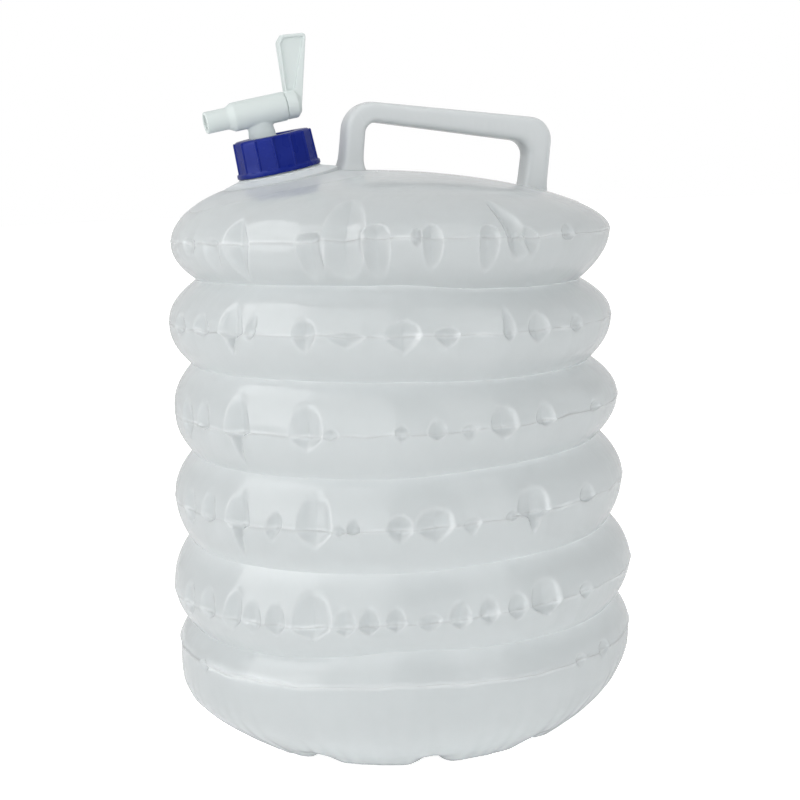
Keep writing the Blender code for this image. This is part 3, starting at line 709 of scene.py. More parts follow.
def fold_tree():
    """One fold: a sheet rolled round the axis, widest at its two crests and narrow between."""
    wiring, source, result = new_tree(
        "bellows_fold", "GeometryNodeTree",
        ("Upper Radius", "Lower Radius", "Upper Height", "Lower Height", "Fold Depth", "Roundness",
         "Ridge Height", "Ridge Width", "Faces Round", "Rows", "Material"),
        ("Geometry",),
    )
    columns = wiring.add(source["Faces Round"], 1.0)
    rows = wiring.add(source["Rows"], 1.0)
    sheet = wiring.node(
        "GeometryNodeMeshGrid",
        {"Size X": 1.0, "Size Y": 1.0, "Vertices X": columns, "Vertices Y": rows},
    )
    place = wiring.node("GeometryNodeInputPosition").outputs[0]
    split = wiring.node("ShaderNodeSeparateXYZ", {0: place})
    turn = wiring.times(wiring.add(split.outputs["X"], 0.5), math.tau)
    even = wiring.add(split.outputs["Y"], 0.5)
    crowd = wiring.times(wiring.calc("SINE", wiring.times(even, math.tau)), 0.75 / math.tau)
    along = wiring.take(even, crowd)
    signed = wiring.take(wiring.times(along, 2.0), 1.0)
    inward = wiring.take(1.0, wiring.calc("ABSOLUTE", signed))
    is_upper = wiring.calc("GREATER_THAN", signed, 0.0)
    gain = wiring.take(source["Upper Radius"], source["Lower Radius"])
    crest = wiring.add(source["Lower Radius"], wiring.times(gain, is_upper))
    middle = wiring.times(wiring.add(source["Upper Radius"], source["Lower Radius"]), 0.5)
    valley = wiring.take(middle, source["Fold Depth"])
    fall = wiring.calc("POWER", inward, source["Roundness"])
    drop = wiring.times(wiring.take(valley, crest), fall)
    tall = wiring.take(source["Upper Height"], source["Lower Height"])
    reach = wiring.times(inward, wiring.times(tall, 0.5))
    away = wiring.calc("DIVIDE", reach, source["Ridge Width"])
    bump = wiring.calc("EXPONENT", wiring.times(wiring.times(away, away), -1.0))
    ridge = wiring.times(bump, source["Ridge Height"])
    radius = wiring.add(wiring.add(crest, drop), ridge)
    height = wiring.add(source["Lower Height"], wiring.times(tall, along))
    x = wiring.times(radius, wiring.calc("COSINE", turn))
    y = wiring.times(radius, wiring.calc("SINE", turn))
    rolled = wiring.node(
        "GeometryNodeSetPosition",
        {"Geometry": sheet.outputs["Mesh"], "Position": wiring.vector(x, y, height)},
    )
    closed = wiring.node(
        "GeometryNodeMergeByDistance", {"Geometry": rolled.outputs[0], "Distance": 0.000005}
    )
    return finish_geometry(wiring, result, closed.outputs[0], source["Material"])


def swept(wiring, curve, radius, corners):
    """A round bar of that radius along a curve, closed at its ends."""
    profile = wiring.node(
        "GeometryNodeCurvePrimitiveCircle", {"Resolution": corners, "Radius": radius}
    )
    return wiring.node(
        "GeometryNodeCurveToMesh",
        {"Curve": curve.outputs[0], "Profile Curve": profile.outputs["Curve"], "Fill Caps": True},
    ).outputs[0]


def rib_tree():
    """Upright grip ribs in a ring, added to the cap that the tree is run on."""
    wiring, source, result = new_tree(
        "cap_ribs", "GeometryNodeTree",
        ("Geometry", "Ribs", "Rib Radius", "Ring Radius", "Low", "High", "Material"),
        ("Geometry",),
    )
    inner = wiring.take(source["Ring Radius"], wiring.times(source["Rib Radius"], 0.75))
    foot = wiring.vector(source["Ring Radius"], 0.0, source["Low"])
    tip = wiring.vector(inner, 0.0, source["High"])
    line = wiring.node("GeometryNodeCurvePrimitiveLine", {"Start": foot, "End": tip})
    bar = swept(wiring, line, source["Rib Radius"], 12)
    places = wiring.node(
        "GeometryNodeMeshLine", {"Count": source["Ribs"], "Offset": (0.0, 0.0, 0.0)}
    )
    index = wiring.node("GeometryNodeInputIndex").outputs[0]
    step = wiring.calc("DIVIDE", math.tau, source["Ribs"])
    turn = wiring.vector(0.0, 0.0, wiring.times(index, step))
    rotation = wiring.node("FunctionNodeEulerToRotation", {0: turn}).outputs[0]
    ring = wiring.node(
        "GeometryNodeInstanceOnPoints",
        {"Points": places.outputs["Mesh"], "Instance": bar, "Rotation": rotation},
    )
    both = wiring.node("GeometryNodeJoinGeometry", {0: ring.outputs[0]})
    wiring.feed(both.inputs[0], source["Geometry"])
    return finish_geometry(wiring, result, both.outputs[0], source["Material"])


def thread_tree():
    """A helical ridge with a rounded back."""
    wiring, source, result = new_tree(
        "neck_thread", "GeometryNodeTree",
        ("Radius", "Turns", "Pitch", "Ridge Radius", "Material"), ("Geometry",),
    )
    coil = wiring.node("GeometryNodeCurveSpiral", {
        "Resolution": 72, "Rotations": source["Turns"], "Start Radius": source["Radius"],
        "End Radius": source["Radius"], "Height": wiring.times(source["Turns"], source["Pitch"]),
    })
    ridge = swept(wiring, coil, source["Ridge Radius"], 10)
    return finish_geometry(wiring, result, ridge, source["Material"])


# Shader groups

def noise(wiring, vector, scale, detail, roughness=0.5):
    values = {"Vector": vector, "Scale": scale, "Detail": detail, "Roughness": roughness}
    return wiring.node("ShaderNodeTexNoise", values).outputs["Fac"]


def clouding_group():
    """Thick and thin places of a milky plastic."""
    wiring, source, result = new_tree(
        "milky_clouding", "ShaderNodeTree",
        ("Vector", "Scale", "Colour", "Thick Colour"), ("Colour",),
    )
    broad = noise(wiring, source["Vector"], source["Scale"], 2.0)
    fine = noise(wiring, source["Vector"], wiring.times(source["Scale"], 6.0), 3.0)
    both = wiring.add(wiring.times(broad, 0.7), wiring.times(fine, 0.3))
    mask = wiring.mapped(both, 0.35, 0.65)
    values = {"Factor": mask, "A": source["Colour"], "B": source["Thick Colour"]}
    mixed = wiring.node("ShaderNodeMix", data_type="RGBA")
    for label, value in values.items():
        wiring.feed(mixed.inputs[label], value)
    wiring.feed(result["Colour"], mixed.outputs["Result"])
    return wiring.tree


def streak_group():
    """Fine upright flow streaks and a faint grain, as a height."""
    wiring, source, result = new_tree(
        "flow_streaks", "ShaderNodeTree",
        ("Vector", "Streak", "Grain", "Grain Scale"), ("Height",),
    )
    squeeze = wiring.node(
        "ShaderNodeMapping", {"Vector": source["Vector"], "Scale": (1.0, 1.0, 0.16)}
    )
    drawn = noise(wiring, squeeze.outputs[0], 95.0, 2.0, 0.55)
    grain = noise(wiring, source["Vector"], source["Grain Scale"], 2.0)
    height = wiring.add(wiring.times(drawn, source["Streak"]), wiring.times(grain, source["Grain"]))
    wiring.feed(result["Height"], height)
    return wiring.tree


def handling_group():
    """Roughness that varies with rubbing and handling."""
    wiring, source, result = new_tree(
        "handling_marks", "ShaderNodeTree", ("Vector", "Low", "High", "Scale"), ("Roughness",)
    )
    smear = noise(wiring, source["Vector"], source["Scale"], 1.0)
    rough = wiring.mapped(smear, 0.35, 0.68, source["Low"], source["High"])
    wiring.feed(result["Roughness"], rough)
    return wiring.tree


def matt_group():
    """A matt patch round one place of a glossy plastic, with a soft edge."""
    wiring, source, result = new_tree(
        "matt_patch", "ShaderNodeTree",
        ("Vector", "Centre", "Near", "Far", "Roughness", "Matt Roughness", "Coat"),
        ("Roughness", "Coat"),
    )
    away = wiring.node(
        "ShaderNodeVectorMath", {0: source["Vector"], 1: source["Centre"]}, operation="DISTANCE"
    )
    gloss = wiring.mapped(
        away.outputs["Value"], source["Near"], source["Far"], kind="SMOOTHSTEP"
    )
    glossy = wiring.times(source["Roughness"], gloss)
    matt = wiring.times(source["Matt Roughness"], wiring.take(1.0, gloss))
    wiring.feed(result["Roughness"], wiring.add(glossy, matt))
    wiring.feed(result["Coat"], wiring.times(source["Coat"], gloss))
    return wiring.tree


def placed_group(wiring, maker, **values):
    """A shader group set in a material, with its values; underscores stand for spaces."""
    name = GROUP_NAMES[maker]
    tree = bpy.data.node_groups.get(name) or maker()
    inputs = {label.replace("_", " "): value for label, value in values.items()}
    return wiring.node("ShaderNodeGroup", inputs, node_tree=tree).outputs


# Shader groups by the function that makes them
GROUP_NAMES = {
    clouding_group: "milky_clouding",
    streak_group: "flow_streaks",
    handling_group: "handling_marks",
    matt_group: "matt_patch",
}


def new_material(name, **uniform):
    """A Principled material with uniform values set on the shader's own sockets."""
    made = bpy.data.materials.new(name)
    made.use_nodes = True
    wiring = Wiring(made.node_tree)
    shader = made.node_tree.nodes["Principled BSDF"].inputs
    for label, value in uniform.items():
        shader[label.replace("_", " ")].default_value = value
    place = wiring.node("ShaderNodeTexCoord").outputs["Object"]
    return made, wiring, shader, place


def cloud(wiring, shader, place, scale, colour, thick):
    """Feeds a colour that drifts between two tones."""
    clouds = placed_group(
        wiring, clouding_group, Vector=place, Scale=scale, Colour=(*colour, 1), Thick_Colour=(*thick, 1)
    )
    wiring.feed(shader["Base Color"], clouds["Colour"])


def rubbed(wiring, place, low, high, scale):
    """A roughness that handling has varied."""
    marks = placed_group(wiring, handling_group, Vector=place, Low=low, High=high, Scale=scale)
    return marks["Roughness"]


def streak_bump(wiring, shader, place, depth, streak, grain, grain_scale):
    """Feeds flow streaks and grain of that depth into the surface's normal."""
    flow = placed_group(
        wiring, streak_group, Vector=place, Streak=streak, Grain=grain, Grain_Scale=grain_scale
    )
    values = {"Strength": 1.0, "Distance": depth, "Height": flow["Height"]}
    wiring.feed(shader["Normal"], wiring.node("ShaderNodeBump", values).outputs[0])


def milky_material(name, colour, thick, streak=1.0, gloss=0.12, depth=0.003):
    """Milky translucent polyethylene with flow streaks, clouding and a soft gloss."""
    coat = 0.2
    made, wiring, shader, place = new_material(
        name, IOR=1.42, Specular_IOR_Level=0.35, Coat_Weight=coat, Coat_Roughness=0.04,
        Coat_IOR=1.4, Subsurface_Weight=1.0, Subsurface_Scale=depth,
        Subsurface_Radius=(1.0, 1.0, 1.0),
    )
    cloud(wiring, shader, place, 16.0, colour, thick)
    collar = neck_frame() @ Vector((0, 0, COLLAR_TOP))
    patch = placed_group(
        wiring, matt_group, Vector=place, Centre=collar, Near=0.038, Far=0.062,
        Roughness=rubbed(wiring, place, gloss, gloss + 0.05, 18.0), Matt_Roughness=0.40, Coat=coat,
    )
    wiring.feed(shader["Roughness"], patch["Roughness"])
    wiring.feed(shader["Coat Weight"], patch["Coat"])
    streak_bump(wiring, shader, place, 0.00030, streak, 0.02, 900.0)
    return made


def cap_material(colour):
    """Royal blue moulded plastic, satin, with a faint grain and rubbed places."""
    made, wiring, shader, place = new_material(
        "blue_cap_plastic", IOR=1.4, Specular_IOR_Level=0.3, Coat_Weight=0.06,
        Coat_Roughness=0.12, Specular_Tint=(0.45, 0.55, 1.0, 1),
    )
    cloud(wiring, shader, place, 60.0, colour, [channel * 0.85 for channel in colour])
    wiring.feed(shader["Roughness"], rubbed(wiring, place, 0.26, 0.42, 140.0))
    streak_bump(wiring, shader, place, 0.00006, 0.2, 0.5, 1500.0)
    return made


def rubber_material(name, colour):
    """Matt moulded rubber with a fine bloom on it."""
    made, wiring, shader, place = new_material(name, IOR=1.45)
    cloud(wiring, shader, place, 220.0, colour, [min(1.0, channel + 0.06) for channel in colour])
    wiring.feed(shader["Roughness"], rubbed(wiring, place, 0.5, 0.7, 300.0))
    streak_bump(wiring, shader, place, 0.00004, 0.1, 1.0, 2200.0)
    return made


def kept_material(name, maker):
    """The material of that name, made when a piece first asks for it."""
    return bpy.data.materials.get(name) or maker()


def lighter(colour, gain):
    return tuple(min(1.0, channel * gain) for channel in colour)


def body_material():
    colour = tuple(bpy.context.scene.carrier_body.colour)
    name = "milky_polyethylene"
    return kept_material(name, lambda: milky_material(name, colour, lighter(colour, 1.03)))


def lightened_handle_material():
    # Painted light: the handle is the body's polyethylene made 1.38 times lighter, standing in for the
    # light that the inner lamps give the hollow body but not the handle
    colour = lighter(bpy.context.scene.carrier_body.colour, 1.38)
    name = "handle_polyethylene_painted_lighter"
    return kept_material(name, lambda: milky_material(name, colour, colour, depth=0.0015))


def tap_material():
    colour = tuple(bpy.context.scene.carrier_tap.colour)
    name = "tap_polyethylene"
    thick = lighter(colour, 1.04)
    return kept_material(name, lambda: milky_material(name, colour, thick, 0.15, 0.20, 0.0012))


# Pieces

class CARRIER_OT_bellows(Operator):
    """Builds the five folds between the crests, with their dents"""

    bl_idname = "carrier.bellows"
    bl_label = "Bellows folds"

    def execute(self, context):
        sizes = context.scene.carrier_body
        surface = body_material()
        tree = fold_tree()
        for k, depth in enumerate(FOLD_DEPTHS):
            upper, lower = CREST_HEIGHTS[k : k + 2]
            name = f"fold_skin_{k + 1}"
            skin = link_object(name, bpy.data.meshes.new(name))
            grow(skin, tree, {
                "Upper Radius": CREST_RADII[k], "Lower Radius": CREST_RADII[k + 1],
                "Upper Height": upper - HAIR, "Lower Height": lower + HAIR,
                "Fold Depth": depth, "Roundness": sizes.roundness,
                "Ridge Height": sizes.ridge_height, "Ridge Width": sizes.ridge_width,
                "Faces Round": sizes.turns, "Rows": sizes.rows, "Material": surface,
            })
            smooth(dented_wall(skin, sizes, upper, lower, closed=False), 50)
            dress(skin, surface, "body_polyethylene", FOLD_BODIES[k], f"bellows_fold_{k + 1}")
            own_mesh(skin)
        return {"FINISHED"}


def ridge_at(sizes, rise):
    return sizes.ridge_height * np.exp(-((rise / sizes.ridge_width) ** 2))


# Outline of the feet and the underside: radius and height, from the feet's outer edge inwards
UNDERSIDE = (
    (0.0858, 0.0004), (0.0848, 0.0), (0.0830, 0.0), (0.0805, 0.0), (0.0782, 0.0), (0.0772, 0.0004),
    (0.0757, 0.0016), (0.0735, 0.0040), (0.0715, 0.0062), (0.0690, 0.0076), (0.0650, 0.0081),
    (0.0560, 0.0083), (0.0420, 0.0085), (0.0260, 0.0086), (0.0120, 0.0087), (0.0020, 0.0087),
)

# Rows of the base's side, the height below which it curves in, and its radius at the feet
SIDE_ROWS = 39
CURVE_TOP = 0.0465
FEET_RADIUS = 0.0862

# Number of feet, the angle of a gap between two of them, and the height where the dents end
FEET = 10
FIRST_GAP = math.radians(8)
STILL_BELOW = 0.012


def base_outline(sizes):
    """Radius and height of each row of the base, from the lowest crest down and inwards."""
    crest, top = CREST_RADII[-1], CREST_HEIGHTS[-1]
    outline = []
    for row in range(SIDE_ROWS):
        height = (top - HAIR) * (1 - (row / SIDE_ROWS) ** 1.35)
        below = max(0.0, (CURVE_TOP - height) / CURVE_TOP)
        radius = crest - (crest - FEET_RADIUS) * below**2.2
        outline.append((radius + ridge_at(sizes, top - height), height))
    return np.array(outline + list(UNDERSIDE))


def shape_feet(turn, radius, height):
    """Cuts gaps between the feet, a groove above each gap and fine pleats, and fills the left."""
    place = (turn - FIRST_GAP) / math.tau * FEET
    off = np.abs(place - np.round(place))
    notch = np.clip(1 - off / 0.26, 0, 1) ** 2.4
    groove = np.exp(-((off / 0.05) ** 2))
    under = np.clip((radius - 0.0700) / 0.0050, 0, 1) * np.clip((0.0090 - height) / 0.0090, 0, 1)
    side = np.clip(height / 0.004, 0, 1) * np.clip(1 - height / 0.034, 0, 1) ** 1.5
    outer = radius > 0.0855
    radius = radius - 0.0011 * groove * side * outer
    pleat = waves(turn, 0, (41, 53, 67, 83), 9) * 0.00030
    radius = radius + pleat * np.clip((0.047 - height) / 0.02, 0, 1) * outer
    fuller = np.clip(np.cos(turn - math.radians(172)), 0, 1) ** 2
    radius = radius + 0.0046 * fuller * np.exp(-(((height - 0.022) / 0.014) ** 2)) * outer
    return radius, height + 0.0090 * notch * under


class CARRIER_OT_base(Operator):
    """Builds the bowl with its ring of scalloped feet"""

    bl_idname = "carrier.base"
    bl_label = "Base"

    def execute(self, context):
        sizes = context.scene.carrier_body
        turn = np.linspace(-math.pi, math.pi, sizes.turns, endpoint=False)
        radius, height = base_outline(sizes).T[:, :, None]
        radius, height = shape_feet(turn, radius, height)
        grid = round_axis(radius, turn, height)
        base = link_object("base_skin", mesh_from_grid("base_skin", grid[::-1]))
        dented_wall(base, sizes, CREST_HEIGHTS[-1], still_below=STILL_BELOW)
        smooth(base, 50)
        dress(base, body_material(), "body_polyethylene", "base", "base_shell")
        return {"FINISHED"}


def close_pole(mesh):
    """Closes the small ring of edges nearest the axis with a face."""
    with edited(mesh) as bm:
        rim = [
            edge for edge in bm.edges
            if edge.is_boundary and edge.verts[0].co.xy.length < 0.01
        ]
        bmesh.ops.contextual_create(bm, geom=rim)
        bmesh.ops.recalc_face_normals(bm, faces=bm.faces)


def round_axis(radius, turn, height):
    """Points at those radii, angles and heights."""
    radius, turn, height = np.broadcast_arrays(radius, turn, height)
    return np.stack([radius * np.cos(turn), radius * np.sin(turn), height], axis=-1)


def spun(outline, steps):
    """A grid turned round Z from a closed outline of (radius, height) points."""
    radius, height = np.array([*outline, outline[0]]).T[:, :, None]
    return round_axis(radius, np.linspace(0, math.tau, steps, endpoint=False), height)


def turned_part(name, outline, steps, place):
    """A closed solid turned from an outline, put in its place."""
    obj = link_object(name, mesh_from_grid(name, spun(outline, steps)))
    with edited(obj.data) as bm:
        bmesh.ops.remove_doubles(bm, verts=bm.verts, dist=1e-7)
        bmesh.ops.dissolve_degenerate(bm, edges=bm.edges, dist=1e-8)
        bmesh.ops.recalc_face_normals(bm, faces=bm.faces)
    obj.data.transform(place)
    return obj


def combine(obj, other, operation, solver="EXACT"):
    """Joins another solid to the object, or cuts it away, and deletes the other."""
    modifier = obj.modifiers.new(other.name, "BOOLEAN")
    modifier.operation = operation
    modifier.solver = solver
    modifier.object = other
    baked(obj)
    bpy.data.objects.remove(other)
    return obj


# Rows of the shoulder, as angles up from the crest: the last one, and where the columns get fewer
SHOULDER_END = math.pi / 2 - 0.012
FINE_UNTIL = 0.72


def shoulder_steps():
    """Angle of each row of the shoulder: close at the crest, wider towards the top."""
    steps = [0.0]
    gap = 0.0025
    while steps[-1] < SHOULDER_END:
        steps.append(steps[-1] + gap)
        gap = min(gap * 1.28, 0.024 if steps[-1] < FINE_UNTIL else 0.020)
    steps[-1] = SHOULDER_END
    return steps


def shoulder_rings(sizes, neck):
    """Rings of points up the shoulder, with a shallow swelling behind the collar."""
    radius = CREST_RADII[0]
    turn = np.linspace(-math.pi, math.pi, sizes.turns, endpoint=False)
    steps = shoulder_steps()
    rows = []
    for step in steps:
        rise = SHOULDER_RISE * math.sin(step)
        out = radius * math.cos(step)
        x, y = out * np.cos(turn), out * np.sin(turn)
        z = CREST_HEIGHTS[0] + rise * (1 - SHOULDER_LEAN * x / radius)
        if step > 0.6:
            z = shoulder_height(x, y)
        lip = 1 + float(ridge_at(sizes, rise)) / out
        rows.append(np.stack([x * lip, y * lip, z + HAIR], axis=1))
    grid = np.array(rows)
    seat = neck @ Vector((0, 0, COLLAR_TOP))
    away = np.linalg.norm(np.cross(grid - np.array(seat), np.array(NECK_AXIS)), axis=2)
    behind = np.clip((grid[:, :, 0] - seat.x) / np.maximum(away, 0.001), 0, 1)
    grid[:, :, 2] += 0.0026 * np.exp(-(((away - 0.0210) / 0.0085) ** 2)) * behind
    return [row if step < FINE_UNTIL else row[::3] for step, row in zip(steps, grid)]


class CARRIER_OT_shoulder(Operator):
    """Builds the shoulder with its collar and threaded neck"""

    bl_idname = "carrier.shoulder"
    bl_label = "Shoulder and neck"

    def execute(self, context):
        sizes = context.scene.carrier_body
        surface = body_material()
        neck = neck_frame()
        mesh = mesh_from_rings("shoulder_skin", shoulder_rings(sizes, neck))
        shoulder = link_object("shoulder_skin", mesh)
        dented_wall(shoulder, sizes, CREST_HEIGHTS[0])
        collar = (
            (0.0, COLLAR_TOP), (0.0204, COLLAR_TOP), (0.0210, COLLAR_TOP - 0.0003),
            (0.0214, COLLAR_TOP - 0.0010), (0.0296, COLLAR_TOP - 0.0034),
            (0.0296, COLLAR_TOP - 0.0068), (0.0, COLLAR_TOP - 0.0068),
        )
        tube = (
            (0.0, NECK_RIM), (0.0159, NECK_RIM), (NECK_RADIUS, NECK_RIM - 0.0006),
            (NECK_RADIUS, COLLAR_TOP - 0.0040), (0.0, COLLAR_TOP - 0.0040),
        )
        bore = (
            (0.0, 0.01), (0.0145, 0.01), (0.0145, COLLAR_TOP - 0.0010),
            (0.0200, COLLAR_TOP - 0.0010), (0.0207, COLLAR_TOP - 0.0016),
            (0.0286, COLLAR_TOP - 0.0040), (0.0286, -0.0450), (0.0, -0.0450),
        )
        for name, outline, operation in (
            ("collar", collar, "UNION"), ("neck_tube", tube, "UNION"),
            ("neck_bore", bore, "DIFFERENCE"),
        ):
            combine(shoulder, turned_part(name, outline, 96, neck), operation, "MANIFOLD")
        thread = link_object("thread", bpy.data.meshes.new("thread"))
        grow(thread, thread_tree(), {
            "Radius": NECK_RADIUS, "Turns": 2.2, "Pitch": 0.0040, "Ridge Radius": 0.0009,
            "Material": surface,
        })
        thread.data.transform(neck @ Matrix.Translation((0, 0, COLLAR_TOP + 0.0020)))
        join(shoulder, thread)
        smooth(shoulder, 40)
        dress(shoulder, surface, "body_polyethylene", "top", "top_shell")
        return {"FINISHED"}


def join(obj, other):
    """Adds the other's mesh to the object's, and deletes the other."""
    with edited(obj.data) as bm:
        bm.from_mesh(other.data)
    bpy.data.objects.remove(other)
    return obj


def arc_between(start, corner, end, radius, steps):
    """Points of the arc that rounds the corner between two lines."""
    corner, start, end = Vector(corner), Vector(start), Vector(end)
    back, ahead = (start - corner).normalized(), (end - corner).normalized()
    half = back.angle(ahead) / 2
    centre = corner + (back + ahead).normalized() * radius / math.sin(half)
    first = corner + back * radius / math.tan(half) - centre
    last = corner + ahead * radius / math.tan(half) - centre
    sweep = first.angle_signed(last)
    return [centre + Matrix.Rotation(-sweep * k / steps, 2) @ first for k in range(steps + 1)]


def loop_side(corners, radii, counts):
    """Points along one side of the handle: leg, corner, bar, corner, leg."""
    foot, left, right, end = [Vector(corner) for corner in corners]
    first = arc_between(foot, left, right, radii[0], counts[1])
    second = arc_between(left, right, end, radii[1], counts[1])
    points = [foot.lerp(first[0], k / counts[0]) for k in range(counts[0])]
    points += first
    points += [first[-1].lerp(second[0], k / counts[2]) for k in range(1, counts[2])]
    points += second
    points += [second[-1].lerp(end, (k + 1) / counts[0]) for k in range(counts[0])]
    return points


# How far the handle's feet reach into the shoulder, and the power that makes its section square
HANDLE_SINK = 0.0028
SQUARE_POWER = 2 / 4.2


def handle_sides():
    """Points along the outer and the inner side of the handle, from its left foot to its right."""
    base = CREST_HEIGHTS[0]
    feet = [shoulder_height(x, 0.0) - HANDLE_SINK for x in (-0.0250, 0.0868, -0.0135, 0.0736)]
    outer = (
        (-0.0250, feet[0]), (-0.0200, base + 0.0680), (0.0925, base + 0.0541), (0.0868, feet[1]),
    )
    inner = (
        (-0.0140, feet[2]), (-0.0105, base + 0.0566), (0.0779, base + 0.0425), (0.0738, feet[3]),
    )
    counts = (26, 12, 40)
    return loop_side(outer, (0.0150, 0.0120), counts), loop_side(inner, (0.0058, 0.0080), counts)


def handle_grid(sizes):
    """Rings of points along the handle, flared at its feet and with a fine seam."""
    around = np.linspace(0, math.tau, 48, endpoint=False)
    wide = np.sign(np.cos(around)) * np.abs(np.cos(around)) ** SQUARE_POWER
    deep = np.sign(np.sin(around)) * np.abs(np.sin(around)) ** SQUARE_POWER
    seam = 1 + 0.025 * np.exp(-((deep / 0.035) ** 2))
    rows = []
    for out, into in zip(*handle_sides()):
        middle = (out + into) / 2
        half = (out - into) / 2
        above = max(0.0, min(out.y, into.y) - shoulder_height(middle.x, 0.0) + HANDLE_SINK)
        spread = sizes.flare * (1.0 if middle.x < 0.03 else 0.2)
        flare = 1 + spread * math.exp(-((above / 0.0040) ** 1.4))
        side = wide * seam * flare
        depth = deep * sizes.depth / 2 * (1 + (flare - 1) * 0.5)
        rows.append(np.stack([middle.x + half.x * side, depth, middle.y + half.y * side], axis=1))
    return np.array(rows)


class CARRIER_OT_handle(Operator):
    """Builds the hollow loop handle, flared where it meets the shoulder"""

    bl_idname = "carrier.handle"
    bl_label = "Handle"

    def execute(self, context):
        sizes = context.scene.carrier_handle
        mesh = mesh_from_grid("handle_skin", handle_grid(sizes))
        handle = link_object("handle_skin", mesh)
        with edited(handle.data) as bm:
            bmesh.ops.recalc_face_normals(bm, faces=bm.faces)
            highest = max(bm.faces, key=lambda face: face.calc_center_median().z)
            if highest.normal.z < 0:
                bmesh.ops.reverse_faces(bm, faces=bm.faces)
        smooth(give_wall(handle, sizes.wall), 50)
        dress(handle, lightened_handle_material(), "body_polyethylene", "top", "handle")
        return {"FINISHED"}


def cap_outline(ring):
    """Radius and height round the cap's wall, from its hole outwards, for a side of that radius."""
    low, lip = CAP_UNDERSIDE, CAP_LIP
    return (
        (0.0119, -0.0004), (0.0122, 0.0), (ring - 0.0034, 0.0), (ring - 0.0022, -0.0001),
        (ring - 0.0014, -0.0004), (ring - 0.0008, -0.0009), (ring - 0.0005, -0.0016),
        (ring - 0.0004, -0.0026), (ring - 0.0003, -0.0070), (ring - 0.0001, -0.0120),
        (ring, lip + 0.0014), (ring + 0.0002, lip + 0.0008), (ring + 0.0007, lip + 0.0002),
        (ring + 0.0009, lip - 0.0003), (ring + 0.0009, lip - 0.0009),
        (ring + 0.0009, low + 0.0003), (ring + 0.0008, low), (0.0184, low), (0.0182, low + 0.0002),
        (0.0182, -0.0022), (0.0119, -0.0022),
    )


def flatten_side(mesh, ring, ribs):
    """Makes the cap's side flat from each rib to the next."""
    points = points_of(mesh)
    radius = np.hypot(points[:, 0], points[:, 1])
    angle = np.arctan2(points[:, 1], points[:, 0])
    pitch = math.tau / ribs
    off = (angle + pitch / 2) % pitch - pitch / 2
    face = np.cos(pitch / 2) / np.cos(pitch / 2 - np.abs(off))
    on_side = (radius > ring - 0.0015) & (radius < ring + 0.0003)
    on_side &= (points[:, 2] < -0.0003) & (points[:, 2] > CAP_LIP)
    points[:, :2] *= np.where(on_side, face, 1.0)[:, None]
    move_points(mesh, points)


class CARRIER_OT_cap(Operator):
    """Builds the ribbed screw cap"""

    bl_idname = "carrier.cap"
    bl_label = "Screw cap"

    def execute(self, context):
        sizes = context.scene.carrier_cap
        surface = kept_material("blue_cap_plastic", lambda: cap_material(tuple(sizes.colour)))
        ring = sizes.radius
        grid = spun(cap_outline(ring), sizes.ribs * 12)
        cap = link_object("cap_skin", mesh_from_grid("cap_skin", grid))
        flatten_side(cap.data, ring, sizes.ribs)
        with edited(cap.data) as bm:
            bmesh.ops.remove_doubles(bm, verts=bm.verts, dist=1e-7)
            bmesh.ops.recalc_face_normals(bm, faces=bm.faces)
        grow(cap, rib_tree(), {
            "Ribs": sizes.ribs, "Rib Radius": sizes.rib_radius, "Ring Radius": ring - 0.0002,
            "Low": CAP_LIP - 0.0002, "High": -0.0008, "Material": surface,
        })
        cap.data.transform(neck_frame())
        smooth(cap, 40)
        dress(cap, surface, "cap_plastic", "cap", "cap")
        return {"FINISHED"}


# Turns a part made along Z to lie along X
LYING = Matrix.Rotation(math.pi / 2, 4, "Y")


def soften(obj, voxel, rounds):
    """Melts the joined solids of a moulding into one, with small fillets between them."""
    melt = obj.modifiers.new("melt", "REMESH")
    melt.mode = "VOXEL"
    melt.voxel_size = voxel
    rub = obj.modifiers.new("rub", "SMOOTH")
    rub.factor = 0.5
    rub.iterations = rounds
    return baked(obj)


class CARRIER_OT_tap(Operator):
    """Builds the tap's body: flange, stem, barrel and spout"""

    bl_idname = "carrier.tap"
    bl_label = "Tap body"

    def execute(self, context):
        sizes = context.scene.carrier_tap
        neck = neck_frame()
        stem_place = neck @ Matrix.Translation((-STEM_OFFSET, 0, 0))
        barrel_place = neck @ Matrix.Translation((0, 0, BARREL_RISE)) @ LYING
        outline = ((0.0, -0.0026), (0.0156, -0.0026), (0.0156, -0.0044), (0.0, -0.0044))
        tap = turned_part("tap_body_skin", outline, 96, neck)
        outline = (
            (0.0, BARREL_RISE - 0.003), (0.0067, BARREL_RISE - 0.003), (0.0066, 0.0040),
            (0.0070, 0.0015), (0.0072, -0.0035), (0.0, -0.0035),
        )
        flat = stem_place @ Matrix.Diagonal((1, 0.72, 1, 1))
        combine(tap, turned_part("stem", outline, 64, flat), "UNION")
        outline = (
            (0.0, 0.0100), (0.0072, 0.0100), (0.0073, 0.0099), (0.0073, -0.0172),
            (0.0070, -0.0178), (0.0055, -0.0206), (0.0055, -0.0316), (0.0052, -0.0319),
            (0.0, -0.0319),
        )
        combine(tap, turned_part("barrel", outline, 96, barrel_place), "UNION")
        outline = (
            (0.0, 0.0150), (0.0052, 0.0150), (0.0052, -0.0147), (0.0038, -0.0147),
            (0.0038, -0.0350), (0.0, -0.0350),
        )
        combine(tap, turned_part("bore", outline, 64, barrel_place), "DIFFERENCE")
        outline = (
            (0.0, BARREL_RISE - 0.002), (0.0030, BARREL_RISE - 0.002), (0.0030, -0.0060),
            (0.0, -0.0060),
        )
        combine(tap, turned_part("stem_bore", outline, 48, stem_place), "DIFFERENCE")
        soften(tap, sizes.fillet_voxel, sizes.fillet_rounds)
        smooth(tap, 60)
        dress(tap, tap_material(), "tap_polyethylene", "tap", "tap_body")
        return {"FINISHED"}


